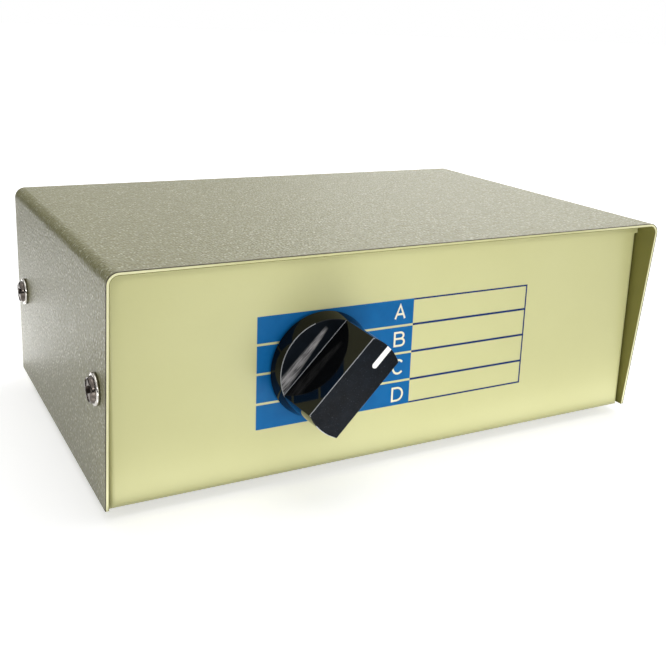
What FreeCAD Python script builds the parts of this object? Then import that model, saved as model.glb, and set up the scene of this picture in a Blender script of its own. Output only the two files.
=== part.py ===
"""Desk-top coaxial switch box: one common line switched by hand to four others.

Frame: +X to the right as seen from the front, +Y to the rear, +Z up. The origin is in the plane the
rubber feet stand on, in the middle of the overall width and depth, from knob to jacks.
Millimetres and degrees.

Each piece is drawn in a frame of its own assembly:
  case frame    the part's own frame
  switch frame  on the shaft's axis at the front panel's outer face, z towards the user, y up
  rotor frame   the switch frame turned to the knob's position A, x along the knob's pointer
  jack frames   on a jack's axis at the rear panel's outer face, z to the rear, y up
"""

import FreeCAD, Part
import math
import os
import re
import Sketcher

POSITIONS = "abcd"
LINES = ("common",) + tuple(POSITIONS)
SPRING_RIVETS = ("spring_rivet_low", "spring_rivet_high")

SIZES = {
    # case
    "case_width": 160.0,  # over the cover's sides
    "case_height": 58.7,  # underside of the base to the top of the cover
    "chassis_depth": 93.5,  # outer face of the front panel to outer face of the rear panel
    "chassis_sheet": 0.9,
    "chassis_bend": 1.5,  # outer radius of its bends
    "flange_depth": 9.0,  # side flanges of the front and rear panels, over the panel
    "corner_relief": 1.6,  # gap between a flange and the base
    "panel_ear_height": 3.0,  # flat strip above the flanges
    "panel_ear_reach": 0.25,  # how far that strip passes the flanges
    "cover_sheet": 0.9,
    "cover_bend": 3.0,  # outer radius of its bends
    "cover_side_gap": 0.4,
    "cover_top_gap": 0.3,
    "cover_lift": 0.65,  # underside of the base to the cover's lower edge
    "hood_top": 6.6,  # how far the cover's top passes the front panel
    "hood_low": 1.1,  # and its sides at their lower edge
    "rear_reach": 6.6,  # how far the cover passes the rear panel
    # rubber feet
    "foot_height": 2.5,
    "foot_radius": 5.5,
    "foot_taper": 0.8,
    "foot_edge": 0.6,
    "foot_side_inset": 14.0,  # foot centre to the chassis side
    "foot_end_inset": 13.0,  # foot centre to a panel's outer face
    # cover screws
    "screw_radius": 1.95,
    "screw_length": 8.0,  # under the head
    "screw_tip": 0.8,
    "screw_head_radius": 3.9,
    "screw_head_height": 2.2,
    "screw_head_round": 1.5,
    "screw_recess_reach": 2.3,
    "screw_recess_width": 1.0,
    "screw_recess_depth": 1.2,
    "screw_rise": 28.9,  # above the underside of the base
    "front_screw_inset": 4.0,  # screw centre behind the front panel's outer face
    "rear_screw_inset": 4.7,
    "screw_clearance": 0.3,  # round a screw in its clearance hole
    "thread_play": 0.02,  # radial play of a thread drawn plain
    # where the shaft is and how it turns
    "shaft_inset": 53.5,  # left side of the chassis to the shaft's axis
    "shaft_rise": 28.5,  # above the underside of the base
    "position_a_angle": 46.0,  # pointer above the horizontal at position A
    "step_angle": 30.0,
    # knob
    "knob_gap": 0.8,  # knob to front panel
    "knob_height": 18.0,  # all heights of the knob are from the front panel
    "knob_skirt_height": 4.5,
    "knob_skirt_radius": 14.0,
    "knob_ledge_radius": 12.95,
    "knob_top_radius": 12.65,
    "knob_bar_low": 5.2,  # half the bar's width at the ledge
    "knob_bar_top": 5.08,
    "knob_edge": 0.25,
    "knob_recess_radius": 8.5,
    "knob_recess_height": 3.4,
    "knob_bore_height": 15.3,
    "knob_bore_play": 0.02,
    "pointer_start": 6.4,  # from the axis
    "pointer_width": 1.45,
    "pointer_depth": 0.5,
    "pointer_rim_gap": 0.15,
    "inlay_play": 0.01,
    "set_screw_radius": 1.5,
    "set_screw_height": 10.5,  # its axis above the front panel
    "set_screw_sink": 0.3,
    "set_screw_slot": 0.5,
    # shaft
    "shaft_radius": 3.0,
    "shaft_play": 0.03,
    "shaft_front_length": 15.0,
    "shaft_rear_length": 18.2,
    "shaft_collar_radius": 4.2,
    "shaft_collar": 1.0,
    "shaft_flat": 2.3,  # axis to the flat under the set screw
    "shaft_flat_start": 5.6,
    "shaft_blade": 2.0,  # half the thickness of the flattened rear part
    "blade_play": 0.02,
    "ring_thickness": 0.5,
    "ring_play": 0.05,
    "ring_groove": 0.5,  # depth of a ring groove
    "ring_radius": 4.6,
    "ring_mouth": 4.4,
    # bushing, panel nut and washers
    "bushing_radius": 4.5,
    "bushing_front": 2.6,
    "bushing_spigot": 4.0,
    "bushing_stake": 0.2,  # how far the spigot passes the index plate
    "running_gap": 0.1,  # end play between pieces that turn on each other
    "bushing_hole_play": 0.1,
    "panel_washer_radius": 6.75,
    "panel_washer": 0.5,
    "panel_nut_flats": 12.0,
    "panel_nut": 1.6,
    "lock_washer": 0.6,
    "lock_washer_radius": 7.5,
    "lock_washer_tooth": 1.2,
    "lock_washer_tooth_count": 12.0,
    # index plate
    "index_plate": 1.2,
    "index_width": 26.0,
    "index_height": 37.0,
    "index_corner": 6.0,
    "locating_peg_orbit": 10.5,
    "locating_peg_radius": 1.2,
    "locating_peg_play": 0.1,
    "stop_peg_orbit": 11.4,
    "stop_peg_radius": 1.5,
    "stop_gap": 0.05,
    "ear_low": 5.5,
    "ear_high": 12.3,
    "ear_reach": 5.4,  # behind the index plate
    # detent wheel and spring
    "wheel_thickness": 1.6,
    "wheel_radius": 9.5,
    "wheel_notch": 1.2,
    "wheel_notch_count": 12.0,
    "wheel_lug_reach": 12.6,
    "wheel_lug_width": 4.0,
    "spring_sheet": 0.4,
    "spring_width": 4.0,
    "spring_nose": 8.55,  # nose tip to the shaft's axis
    "spring_nose_rise": 2.2,  # height of the nose on the spring
    "spring_tail": 4.2,
    "spring_rivet_radius": 0.8,
    "spring_rivet_low": 7.4,
    "spring_rivet_high": 10.6,
    # wafer, rotor and clips
    "wafer_front": 12.5,  # behind the front panel's outer face
    "wafer_thickness": 1.6,
    "wafer_radius": 17.5,
    "wafer_hole": 7.7,
    "hub_radius": 7.4,
    "hub_front": 11.5,
    "hub_spigot": 5.2,
    "hub_rear": 16.5,
    "spacer_radius": 4.0,
    "contact_sheet": 0.5,
    "contact_gap": 0.05,
    "contact_ring_radius": 9.0,
    "contact_lobe_reach": 11.5,
    "contact_lobe_width": 3.6,
    "rotor_rivet_orbit": 6.3,
    "rotor_rivet_radius": 0.6,
    "clip_sheet": 0.4,
    "clip_width": 3.0,
    "clip_bend": 13.2,  # inside of the clip's fold to the shaft's axis
    "common_tip": 7.8,
    "throw_tip": 9.8,
    "clip_reach": 21.0,
    "clip_eye_orbit": 19.4,
    "clip_eye_radius": 0.7,
    "clip_rivet_orbit": 15.6,
    "clip_rivet_radius": 0.8,
    "rivet_head": 0.45,  # how far a rivet's head passes its shank
    "rivet_head_height": 0.35,
    "rivet_play": 0.02,
    "common_clip_angle": 180.0,
    # tie screws
    "tie_orbit": 15.0,
    "tie_radius": 1.48,
    "tie_head_radius": 2.75,
    "tie_head_height": 1.8,
    "tie_slot": 0.7,
    "tie_washer": 0.6,
    "tie_spacer_radius": 2.5,
    "tie_play": 0.07,
    # jacks
    "jack_rise": 28.5,  # above the underside of the base
    "jack_common_inset": 22.7,  # left side of the chassis to the common jack
    "jack_first_inset": 18.7,  # right side of the chassis to jack A
    "jack_pitch": 24.0,
    "jack_flange": 2.0,
    "jack_flange_flats": 14.0,
    "jack_reach": 12.4,  # rear panel to the mouth
    "jack_nose_radius": 4.825,
    "jack_nose": 4.15,  # length of the nose in front of the bayonet lugs
    "jack_shank_radius": 4.75,
    "jack_barrel_radius": 4.5,  # between its flange and its nose
    "jack_mouth_bevel": 0.4,
    "jack_lug_radius": 1.0,
    "jack_lug_span": 11.0,
    "jack_lug_setback": 5.25,  # lug centre behind the mouth
    "jack_bore": 4.06,
    "jack_bore_depth": 8.4,
    "jack_core": 3.2,
    "jack_shank": 7.0,  # inside the rear panel's outer face
    "jack_hole_play": 0.1,
    "insulator_nose_radius": 2.5,
    "insulator_nose": 5.0,
    "insulator_tail": 0.4,
    "fit_play": 0.02,
    "contact_radius": 1.1,
    "contact_setback": 0.3,  # socket behind the insulator's nose
    "contact_socket": 0.7,
    "contact_socket_depth": 5.5,
    "contact_slot": 0.3,
    "contact_slot_depth": 4.0,
    "contact_tail": 3.0,  # past the shank
    "cup_radius": 0.55,
    "cup_depth": 2.5,
    "tag_sheet": 0.4,
    "tag_radius": 7.0,
    "tag_width": 3.0,
    "tag_arm": 9.0,  # axis to the outer face of the bent arm
    "tag_eye_setback": 8.4,
    "tag_eye_radius": 0.55,
    "tag_end": 1.1,
    "jack_washer": 0.7,
    "jack_washer_radius": 6.8,
    "washer_split": 0.8,
    "jack_nut": 2.5,
    "jack_nut_flats": 12.7,
    # leads and pigtails
    "lead_radius": 1.4,
    "lead_core_radius": 0.75,
    "lead_wire_radius": 0.4,
    "lead_bare": 3.5,
    "lead_stripped": 2.5,
    "lead_through": 0.6,
    "lead_in_cup": 1.7,
    "lead_straight": 10.0,
    "lead_bend": 14.0,
    "pigtail_radius": 0.3,
    "pigtail_bend": 1.2,
    "pigtail_through": 0.9,
    # drawing
    "cut_past": 1.0,  # how far a cut runs past the face it opens
}

FORMULAS = {
    "overall_depth": "knob_height + chassis_depth + jack_reach",
    "front_y": "knob_height - overall_depth / 2",
    "rear_y": "front_y + chassis_depth",
    "base_z": "foot_height",
    "floor_z": "base_z + chassis_sheet",
    "top_z": "base_z + case_height",
    "cover_low_z": "base_z + cover_lift",
    "half_cover": "case_width / 2",
    "half_chassis": "half_cover - cover_sheet - cover_side_gap",
    "panel_top_z": "top_z - cover_sheet - cover_top_gap",
    "panel_height": "panel_top_z - base_z",
    "screw_z": "base_z + screw_rise",
    "front_screw_y": "front_y + front_screw_inset",
    "rear_screw_y": "rear_y - rear_screw_inset",
    "shaft_x": "shaft_inset - half_chassis",
    "shaft_z": "base_z + shaft_rise",
    "jack_common_x": "jack_common_inset - half_chassis",
    "jack_first_x": "half_chassis - jack_first_inset",
    "jack_z": "base_z + jack_rise",
    "rest_turn": f"{(len(POSITIONS) - 1) / 2} * step_angle",
    "mid_angle": "position_a_angle - rest_turn",
    "plate_front": "chassis_sheet + lock_washer",
    "plate_rear": "plate_front + index_plate",
    "stake_rear": "plate_rear + bushing_stake",
    "collar_front": "stake_rear + running_gap",
    "collar_rear": "collar_front + shaft_collar",
    "wheel_rear": "collar_rear + wheel_thickness",
    "wheel_mid": "(collar_rear + wheel_rear) / 2",
    "stop_turn": "asin((wheel_lug_width / 2 + stop_peg_radius + stop_gap) / stop_peg_orbit)",
    "stop_angle": "rest_turn + stop_turn / 1 deg",
    "front_ring": "bushing_front + running_gap",
    "rear_ring": "hub_rear + ring_play",
    "ear_inside": "index_width / 2 - index_plate",
    "wafer_rear": "wafer_front + wafer_thickness",
    "contact_front": "wafer_rear + clip_sheet + contact_gap",
    "contact_rear": "contact_front + contact_sheet",
    "clip_rear": "contact_rear + contact_gap + clip_sheet",
    "tie_head": "wafer_rear + tie_washer",
    "jack_hole": "jack_shank_radius + jack_hole_play",
    "jack_lug": "jack_reach - jack_lug_setback",
    "jack_seat": "jack_reach - jack_bore_depth",
    "insulator_front": "jack_seat + insulator_nose",
    "socket_front": "insulator_front - contact_setback",
    "contact_end": "jack_shank + contact_tail",
    "tag_rear": "chassis_sheet + tag_sheet",
    "washer_rear": "tag_rear + jack_washer",
    "nut_rear": "washer_rear + jack_nut",
    "cup_tip": "contact_end - lead_in_cup",
    "jack_core_start": "contact_end + lead_bare - lead_in_cup",
    "jack_jacket_start": "jack_core_start + lead_stripped",
    "clip_core_start": "wafer_rear + lead_bare",
    "clip_jacket_start": "clip_core_start + lead_stripped",
}

doc = FreeCAD.newDocument("coaxial_switch")
sheet = doc.addObject("Spreadsheet::Sheet", "Sizes")
for row, (name, size) in enumerate(SIZES.items(), start=1):
    sheet.set(f"A{row}", name.replace("_", " "))
    sheet.set(f"B{row}", str(size))
    sheet.setAlias(f"B{row}", name)
doc.recompute()

nodes = []


def text(expression):
    """The expression with every named size and formula written out for FreeCAD."""

    def written(match):
        word = match.group(0)
        if word in FORMULAS:
            return f"({text(FORMULAS[word])})"
        return f"Sizes.{word}" if word in SIZES else word

    return re.sub(r"[a-z][a-z_]*", written, expression)


def evaluate(expression):
    return sheet.evalExpression(text(expression))


def number(expression):
    result = evaluate(expression)
    return float(getattr(result, "Value", result))


def bind(item, **sizes):
    for prop, expression in sizes.items():
        item.setExpression(prop, text(expression))
    return item


# frames, written as expressions of a placement

X_AXIS = "vector(1; 0; 0)"
Y_AXIS = "vector(0; 1; 0)"
Z_AXIS = "vector(0; 0; 1)"


def at(x="0", y="0", z="0", *turns):
    """A placement at x, y, z, turned by (axis, angle) pairs, the last one first."""
    spin = " * ".join(f"rotation({axis}; {angle})" for axis, angle in turns)
    return f"placement(vector({x}; {y}; {z}); {spin or f'rotation({Z_AXIS}; 0)'})"


def turned(angle):
    return at("0", "0", "0", (Z_AXIS, angle))


SWITCH = at("shaft_x", "front_y", "shaft_z", (X_AXIS, "90"), (Z_AXIS, "mid_angle"))
ROTOR = f"{SWITCH} * {turned('rest_turn')}"


def jack_frame(line):
    if line == "common":
        x = "jack_common_x"
    else:
        x = f"jack_first_x - {POSITIONS.index(line)} * jack_pitch"
    return at(x, "rear_y", "jack_z", (X_AXIS, "-90"), (Z_AXIS, "180"))


def clip_angle(line):
    if line == "common":
        return "common_clip_angle"
    return f"rest_turn - {POSITIONS.index(line)} * step_angle"


# Part primitives and booleans


def primitive(kind, name, where=None, **sizes):
    item = bind(doc.addObject(f"Part::{kind}", name), **sizes)
    if where:
        item.setExpression("Placement", text(where))
    return item


def rod(name, radius, low, high, where=None):
    """A cylinder along z from low to high in the given frame."""
    spot = at("0", "0", low)
    where = f"{where} * {spot}" if where else spot
    return primitive("Cylinder", name, where, Radius=radius, Height=f"{high} - ({low})")


def block(name, low, high):
    """A box between two corners."""
    sides = [f"{b} - ({a})" for a, b in zip(low, high)]
    return primitive("Box", name, at(*low), Length=sides[0], Width=sides[1], Height=sides[2])


def fuse(name, *items):
    item = doc.addObject("Part::MultiFuse", name)
    item.Shapes = list(items)
    return item


def cut(name, base, *tools):
    item = doc.addObject("Part::Cut", name)
    item.Base = base
    item.Tool = tools[0] if len(tools) == 1 else fuse(f"{name}_tools", *tools)
    return item


def ring(name, inner, outer, low, high):
    return cut(name, rod(f"{name}_disc", outer, low, high), rod(f"{name}_hole", inner, low, high))


def hex_nut(name, flats, bore, low, high):
    prism = primitive("Prism", f"{name}_prism", at("0", "0", low))
    bind(prism, Circumradius=f"{flats} / 2 / cos(30)", Height=f"{high} - ({low})")
    return cut(name, prism, rod(f"{name}_bore", bore, low, high))


# PartDesign bodies


def new_body(name):
    return doc.addObject("PartDesign::Body", name)


def circle(x, y, radius):
    return ("circle", x, y, radius)


def rectangle(low, high):
    return [low, (high[0], low[1]), high, (low[0], high[1])]


def sketch(body, plane, loops, start="0"):
    """A sketch of closed loops, each a circle or a list of (x, y) corners, start along its normal."""
    item = body.newObject("Sketcher::SketchObject", f"{body.Name}_sketch")
    support = [feature for feature in body.Origin.OriginFeatures if feature.Role == f"{plane}_Plane"]
    item.AttachmentSupport = [(support[0], "")]
    item.MapMode = "FlatFace"
    item.setExpression("AttachmentOffset.Base.z", text(start))

    def pin(geometry, end, kind, expression):
        index = item.addConstraint(Sketcher.Constraint(kind, geometry, end, number(expression)))
        label = f"{kind}_{geometry}_{end}"
        item.renameConstraint(index, label)
        item.setExpression(f"Constraints.{label}", text(expression))

    for loop in loops:
        if loop[0] == "circle":
            x, y, radius = loop[1:]
            centre = FreeCAD.Vector(number(x), number(y), 0)
            geometry = item.addGeometry(Part.Circle(centre, FreeCAD.Vector(0, 0, 1), number(radius)))
            pin(geometry, 3, "DistanceX", x)
            pin(geometry, 3, "DistanceY", y)
            index = item.addConstraint(Sketcher.Constraint("Radius", geometry, number(radius)))
            item.renameConstraint(index, f"Radius_{geometry}")
            item.setExpression(f"Constraints.Radius_{geometry}", text(radius))
            continue
        corners = [FreeCAD.Vector(number(x), number(y), 0) for x, y in loop]
        lines = [
            item.addGeometry(Part.LineSegment(a, b)) for a, b in zip(corners, corners[1:] + corners[:1])
        ]
        for line, following in zip(lines, lines[1:] + lines[:1]):
            item.addConstraint(Sketcher.Constraint("Coincident", line, 2, following, 1))
        for line, (x, y) in zip(lines, loop):
            pin(line, 1, "DistanceX", x)
            pin(line, 1, "DistanceY", y)
    doc.recompute()
    return item


def feature(body, kind, profile, **settings):
    item = body.newObject(f"PartDesign::{kind}", f"{body.Name}_{kind.lower()}")
    item.Profile = profile
    for prop, setting in settings.items():
        setattr(item, prop, setting)
    return item


def pad(body, plane, loops, length, start="0", both=False):
    """Material added along the plane's normal, or evenly on both sides of it."""
    item = feature(body, "Pad", sketch(body, plane, loops, start))
    if both:
        item.SideType = "Symmetric"
    bind(item, Length=length)
    doc.recompute()
    return item


def disc(body, radius, low, high):
    return pad(body, "XY", [circle("0", "0", radius)], f"{high} - ({low})", low)


def pocket(body, plane, loops, depth, start):
    """Material cut away against the plane's normal, starting at start along it."""
    item = feature(body, "Pocket", sketch(body, plane, loops, start))
    bind(item, Length=depth)
    doc.recompute()
    return item


def pierce(body, plane, loops):
    """Material cut away through everything on both sides of the plane."""
    item = feature(body, "Pocket", sketch(body, plane, loops), Type="ThroughAll", SideType="Symmetric")
    doc.recompute()
    return item


def revolve(body, outline):
    """A solid of revolution about z from its (radius, z) outline."""
    profile = sketch(body, "XZ", [outline])
    item = feature(body, "Revolution", profile, ReferenceAxis=(profile, ["V_Axis"]), Angle=360.0)
    doc.recompute()
    return item


def dress(body, kind, points, size):
    """A Fillet or Chamfer on the edges that pass through the points."""
    base = body.Tip
    names = []
    for point in points:
        spot = Part.Vertex(*[number(ordinate) for ordinate in point])
        gaps = [edge.distToShape(spot)[0] for edge in base.Shape.Edges]
        names.append(f"Edge{gaps.index(min(gaps)) + 1}")
    item = body.newObject(f"PartDesign::{kind}", f"{body.Name}_{kind.lower()}")
    item.Base = (base, names)
    bind(item, **{"Radius" if kind == "Fillet" else "Size": size})
    doc.recompute()
    return item


def repeat_round(body, cutter, count):
    """Copies of a cutter, evenly round z."""
    item = body.newObject("PartDesign::PolarPattern", f"{body.Name}_pattern")
    item.Originals = [cutter]
    item.Axis = (cutter.Profile[0], ["N_Axis"])
    item.Angle = 360.0
    bind(item, Occurrences=count)
    body.Tip = item
    doc.recompute()
    return item


# naming, placing and copying whole pieces


def node(name, item, where=None):
    """Makes the item a sub-part of its own, placed in the given frame."""
    item.Label = name
    if where:
        item.setExpression("Placement", text(where))
    nodes.append(item)
    return item


def copies(name, item, places):
    """One sub-part of several equal solids, one at each placement."""
    placed = []
    for place in places:
        copy = doc.addObject("Part::Compound", f"{name}_copy")
        copy.Links = [item]
        copy.setExpression("Placement", text(place))
        placed.append(copy)
    group = doc.addObject("Part::Compound", f"{name}_group")
    group.Links = placed
    return node(name, group)


# case


def make_chassis():
    """Front panel, base and rear panel in one bent sheet, with side flanges for the cover screws."""
    body = new_body("chassis_body")
    low = ("-(half_chassis)", "front_y")
    high = ("half_chassis", "rear_y")
    pad(body, "XY", [rectangle(low, high)], "panel_height", "base_z")
    panel_mid_z = "base_z + panel_height / 2"
    outer = [(x, y, panel_mid_z) for x in ("-(half_chassis)", "half_chassis") for y in ("front_y", "rear_y")]
    outer += [("0", y, "base_z") for y in ("front_y", "rear_y")]
    dress(body, "Fillet", outer, "chassis_bend")

    inside_x = "half_chassis - chassis_sheet"
    inside = (f"-({inside_x})", "front_y + chassis_sheet"), (inside_x, "rear_y - chassis_sheet")
    pocket(body, "XY", [rectangle(*inside)], "panel_height - chassis_sheet", "panel_top_z")
    inner = [(x, y[1], panel_mid_z) for x in (f"-({inside_x})", inside_x) for y in inside]
    inner += [("0", y[1], "floor_z") for y in inside]
    dress(body, "Fillet", inner, "chassis_bend - chassis_sheet")

    flange_low = "floor_z + corner_relief"
    flange_high = "panel_top_z - panel_ear_height"
    past = "panel_top_z + cut_past"
    bend_front, bend_rear = "front_y + chassis_bend", "rear_y - chassis_bend"
    flange_front, flange_rear = "front_y + flange_depth", "rear_y - flange_depth"
    sheet_front, sheet_rear = "front_y + chassis_sheet", "rear_y - chassis_sheet"
    window = [(bend_front, "floor_z"), (bend_rear, "floor_z"), (bend_rear, flange_low)]
    window += [(flange_rear, flange_low), (flange_rear, flange_high), (sheet_rear, flange_high)]
    window += [(sheet_rear, past), (sheet_front, past), (sheet_front, flange_high)]
    window += [(flange_front, flange_high), (flange_front, flange_low), (bend_front, flange_low)]
    pierce(body, "YZ", [window])

    ear = "half_chassis + panel_ear_reach"
    strip = rectangle((f"-({ear})", flange_high), (ear, "panel_top_z"))
    for start, y in (("-(front_y + chassis_sheet)", "front_y"), ("-rear_y", "rear_y")):
        pad(body, "XZ", [strip], "chassis_sheet", start)
        corners = [(f"{sign}({ear})", y, "panel_top_z") for sign in ("-", "")]
        dress(body, "Fillet", corners, "cover_bend - cover_sheet")

    through = "chassis_sheet + 2 * cut_past"
    peg_x = "shaft_x + locating_peg_orbit * cos(mid_angle)"
    peg_z = "shaft_z + locating_peg_orbit * sin(mid_angle)"
    panel_holes = [
        circle("shaft_x", "shaft_z", "bushing_radius + bushing_hole_play"),
        circle(peg_x, peg_z, "locating_peg_radius + locating_peg_play"),
    ]
    pocket(body, "XZ", panel_holes, through, "cut_past - front_y")
    jack_holes = []
    for index in range(len(POSITIONS)):
        jack_holes.append(circle(f"jack_first_x - {index} * jack_pitch", "jack_z", "jack_hole"))
    jack_holes.append(circle("jack_common_x", "jack_z", "jack_hole"))
    pocket(body, "XZ", jack_holes, through, "chassis_sheet + cut_past - rear_y")
    flange_hole = "screw_radius + thread_play"
    pierce(body, "YZ", [circle(y, "screw_z", flange_hole) for y in ("front_screw_y", "rear_screw_y")])
    node("chassis", body)


def make_cover():
    """Top and two sides in one bent sheet. It passes the front panel as a hood with slanting sides."""
    body = new_body("cover_body")
    inside_x = "half_cover - cover_sheet"
    inside_z = "top_z - cover_sheet"
    profile = [("-(half_cover)", "cover_low_z"), ("-(half_cover)", "top_z")]
    profile += [("half_cover", "top_z"), ("half_cover", "cover_low_z")]
    profile += [(inside_x, "cover_low_z"), (inside_x, inside_z)]
    profile += [(f"-({inside_x})", inside_z), (f"-({inside_x})", "cover_low_z")]
    pad(body, "XZ", [profile], "hood_top + chassis_depth + rear_reach", "-(rear_y + rear_reach)")
    dress(body, "Fillet", [("-(half_cover)", "0", "top_z"), ("half_cover", "0", "top_z")], "cover_bend")
    corners = [(f"-({inside_x})", "0", inside_z), (inside_x, "0", inside_z)]
    dress(body, "Fillet", corners, "cover_bend - cover_sheet")

    hood_y = "front_y - hood_top"
    slant = [("front_y - hood_low", "cover_low_z"), (hood_y, "top_z - cover_bend")]
    slant += [(f"{hood_y} - cut_past", z) for z in ("top_z - cover_bend", "cover_low_z - cut_past")]
    slant += [("front_y - hood_low", "cover_low_z - cut_past")]
    pierce(body, "YZ", [slant])
    hole = "screw_radius + screw_clearance"
    pierce(body, "YZ", [circle(y, "screw_z", hole) for y in ("front_screw_y", "rear_screw_y")])
    node("top_cover", body)


def make_feet():
    body = new_body("foot_body")
    low = "foot_radius - foot_taper"
    outline = [("0", "0"), (low, "0"), ("foot_radius", "foot_height"), ("0", "foot_height")]
    revolve(body, outline)
    dress(body, "Fillet", [("0", low, "0")], "foot_edge")
    x = "half_chassis - foot_side_inset"
    rows = ("front_y + foot_end_inset", "rear_y - foot_end_inset")
    copies("rubber_feet", body, [at(side, y) for side in (f"-({x})", x) for y in rows])


def cross(reach, width):
    """A cross outline round the origin."""
    half = f"{width} / 2"
    arm = [(half, half), (half, reach), (f"-({half})", reach), (f"-({half})", half)]
    far = [(f"-({reach})", half), (f"-({reach})", f"-({half})"), (f"-({half})", f"-({half})")]
    end = [(f"-({half})", f"-({reach})"), (half, f"-({reach})"), (half, f"-({half})")]
    return arm + far + end + [(reach, f"-({half})"), (reach, half)]


def make_cover_screws():
    body = new_body("cover_screw_body")
    disc(body, "screw_head_radius", "0", "screw_head_height")
    dress(body, "Fillet", [("0", "screw_head_radius", "screw_head_height")], "screw_head_round")
    disc(body, "screw_radius", "-screw_length", "0")
    dress(body, "Chamfer", [("0", "screw_radius", "-screw_length")], "screw_tip")
    recess = cross("screw_recess_reach", "screw_recess_width")
    pocket(body, "XY", [recess], "screw_recess_depth", "screw_head_height")
    sides = (("-(half_cover)", "-90"), ("half_cover", "90"))
    rows = ("front_screw_y", "rear_screw_y")
    copies("cover_screws", body, [at(x, y, "screw_z", (Y_AXIS, turn)) for x, turn in sides for y in rows])


# knob and shaft, in the rotor frame


def make_knob():
    """A skirt with a full-width grip bar, hollow underneath to clear the panel nut."""
    body = new_body("knob_body")
    ledge_low = "knob_skirt_height - knob_edge"
    bar = [("0", ledge_low), ("knob_ledge_radius", ledge_low)]
    revolve(body, bar + [("knob_top_radius", "knob_height"), ("0", "knob_height")])
    flanks = []
    for sign in ("-", ""):
        corners = [("knob_bar_low", ledge_low), ("knob_bar_top", "knob_height")]
        corners += [("knob_bar_top", "knob_height + cut_past")]
        corners += [("knob_skirt_radius + cut_past", "knob_height + cut_past")]
        corners += [("knob_skirt_radius + cut_past", ledge_low)]
        flanks.append([(f"{sign}({y})", z) for y, z in corners])
    pierce(body, "YZ", flanks)
    off_seam = "knob_top_radius * sin(10)"
    rims = [("0", f"{sign}knob_bar_top", "knob_height") for sign in ("-", "")]
    rims += [(f"{sign}knob_top_radius * cos(10)", off_seam, "knob_height") for sign in ("-", "")]
    dress(body, "Fillet", rims, "knob_edge")
    skirt = [("0", "knob_gap"), ("knob_skirt_radius", "knob_gap"), ("knob_ledge_radius", ledge_low)]
    skirt += [("knob_ledge_radius - knob_edge", "knob_skirt_height"), ("0", "knob_skirt_height")]
    revolve(body, skirt)

    recess = [circle("0", "0", "knob_recess_radius")]
    pocket(body, "XY", recess, "knob_recess_height - knob_gap + cut_past", "knob_recess_height")
    bore = [circle("0", "0", "shaft_radius + knob_bore_play")]
    pocket(body, "XY", bore, "knob_bore_height - knob_gap", "knob_bore_height")
    screw_hole = [circle("0", "set_screw_height", "set_screw_radius + thread_play")]
    pocket(body, "XZ", screw_hole, "knob_bar_low + cut_past", "knob_bar_low + cut_past")
    half = "pointer_width / 2"
    end = f"pointer_start + {half}"
    slot = rectangle((end, f"-{half}"), ("knob_top_radius + cut_past", half))
    pocket(body, "XY", [slot], "pointer_depth", "knob_height")
    pocket(body, "XY", [circle(end, "0", half)], "pointer_depth", "knob_height")
    node("knob", body, ROTOR)

    inlay = new_body("inlay_body")
    half = "(pointer_width / 2 - inlay_play)"
    end = "(pointer_start + pointer_width / 2)"
    low, height = "knob_height - pointer_depth", "pointer_depth - 2 * inlay_play"
    bar = rectangle((end, f"-{half}"), ("knob_top_radius - pointer_rim_gap", half))
    pad(inlay, "XY", [bar], height, low)
    pad(inlay, "XY", [circle(end, "0", half)], height, low)
    node("pointer_line", inlay, ROTOR)

    screw = new_body("set_screw_body")
    long = "knob_bar_top - set_screw_sink - shaft_flat"
    disc(screw, "set_screw_radius", "fit_play", long)
    half = "set_screw_slot / 2"
    slot = rectangle(("-(set_screw_radius + cut_past)", f"-{half}"), ("set_screw_radius + cut_past", half))
    pocket(screw, "XY", [slot], "set_screw_radius / 2", long)
    node("knob_set_screw", screw, f"{ROTOR} * {at('0', '-shaft_flat', 'set_screw_height', (X_AXIS, '90'))}")


def make_shaft():
    body = new_body("shaft_body")
    groove = "shaft_radius - ring_groove"
    wide = "ring_thickness + 2 * ring_play"
    rear_groove = "-(rear_ring - ring_play)"
    front_groove = "front_ring - ring_play"
    outline = [("0", "-shaft_rear_length"), ("shaft_radius", "-shaft_rear_length")]
    outline += [("shaft_radius", f"{rear_groove} - ({wide})"), (groove, f"{rear_groove} - ({wide})")]
    outline += [(groove, rear_groove), ("shaft_radius", rear_groove), ("shaft_radius", "-(collar_rear)")]
    outline += [("shaft_collar_radius", "-(collar_rear)"), ("shaft_collar_radius", "-(collar_front)")]
    outline += [("shaft_radius", "-(collar_front)"), ("shaft_radius", front_groove), (groove, front_groove)]
    outline += [(groove, f"{front_groove} + {wide}"), ("shaft_radius", f"{front_groove} + {wide}")]
    revolve(body, outline + [("shaft_radius", "shaft_front_length"), ("0", "shaft_front_length")])
    past = "shaft_radius + cut_past"
    flats = [rectangle((f"-({past})", "shaft_blade"), (past, past))]
    flats.append(rectangle((f"-({past})", f"-({past})"), (past, "-shaft_blade")))
    pocket(body, "XY", flats, "shaft_rear_length - collar_rear + cut_past", "-(collar_rear)")
    seat = [rectangle((f"-({past})", f"-({past})"), (past, "-shaft_flat"))]
    end = "shaft_front_length + cut_past"
    pocket(body, "XY", seat, f"{end} - shaft_flat_start", end)
    node("switch_shaft", body, ROTOR)


def make_retaining_ring(name, low):
    """An open ring in a groove of the shaft, from low along z."""
    inner = "shaft_radius - ring_groove + fit_play"
    band = ring(f"{name}_band", inner, "ring_radius", low, f"{low} + ring_thickness")
    mouth = block(
        f"{name}_mouth",
        ("0", "-ring_mouth / 2", f"{low} - cut_past"),
        ("ring_radius + cut_past", "ring_mouth / 2", f"{low} + ring_thickness + cut_past"),
    )
    node(name, cut(f"{name}_cut", band, mouth), ROTOR)


def blade_hole():
    """The slot that fits the flattened rear part of the shaft."""
    x = "shaft_radius + blade_play"
    y = "shaft_blade + blade_play"
    return rectangle((f"-({x})", f"-({y})"), (x, y))


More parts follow.
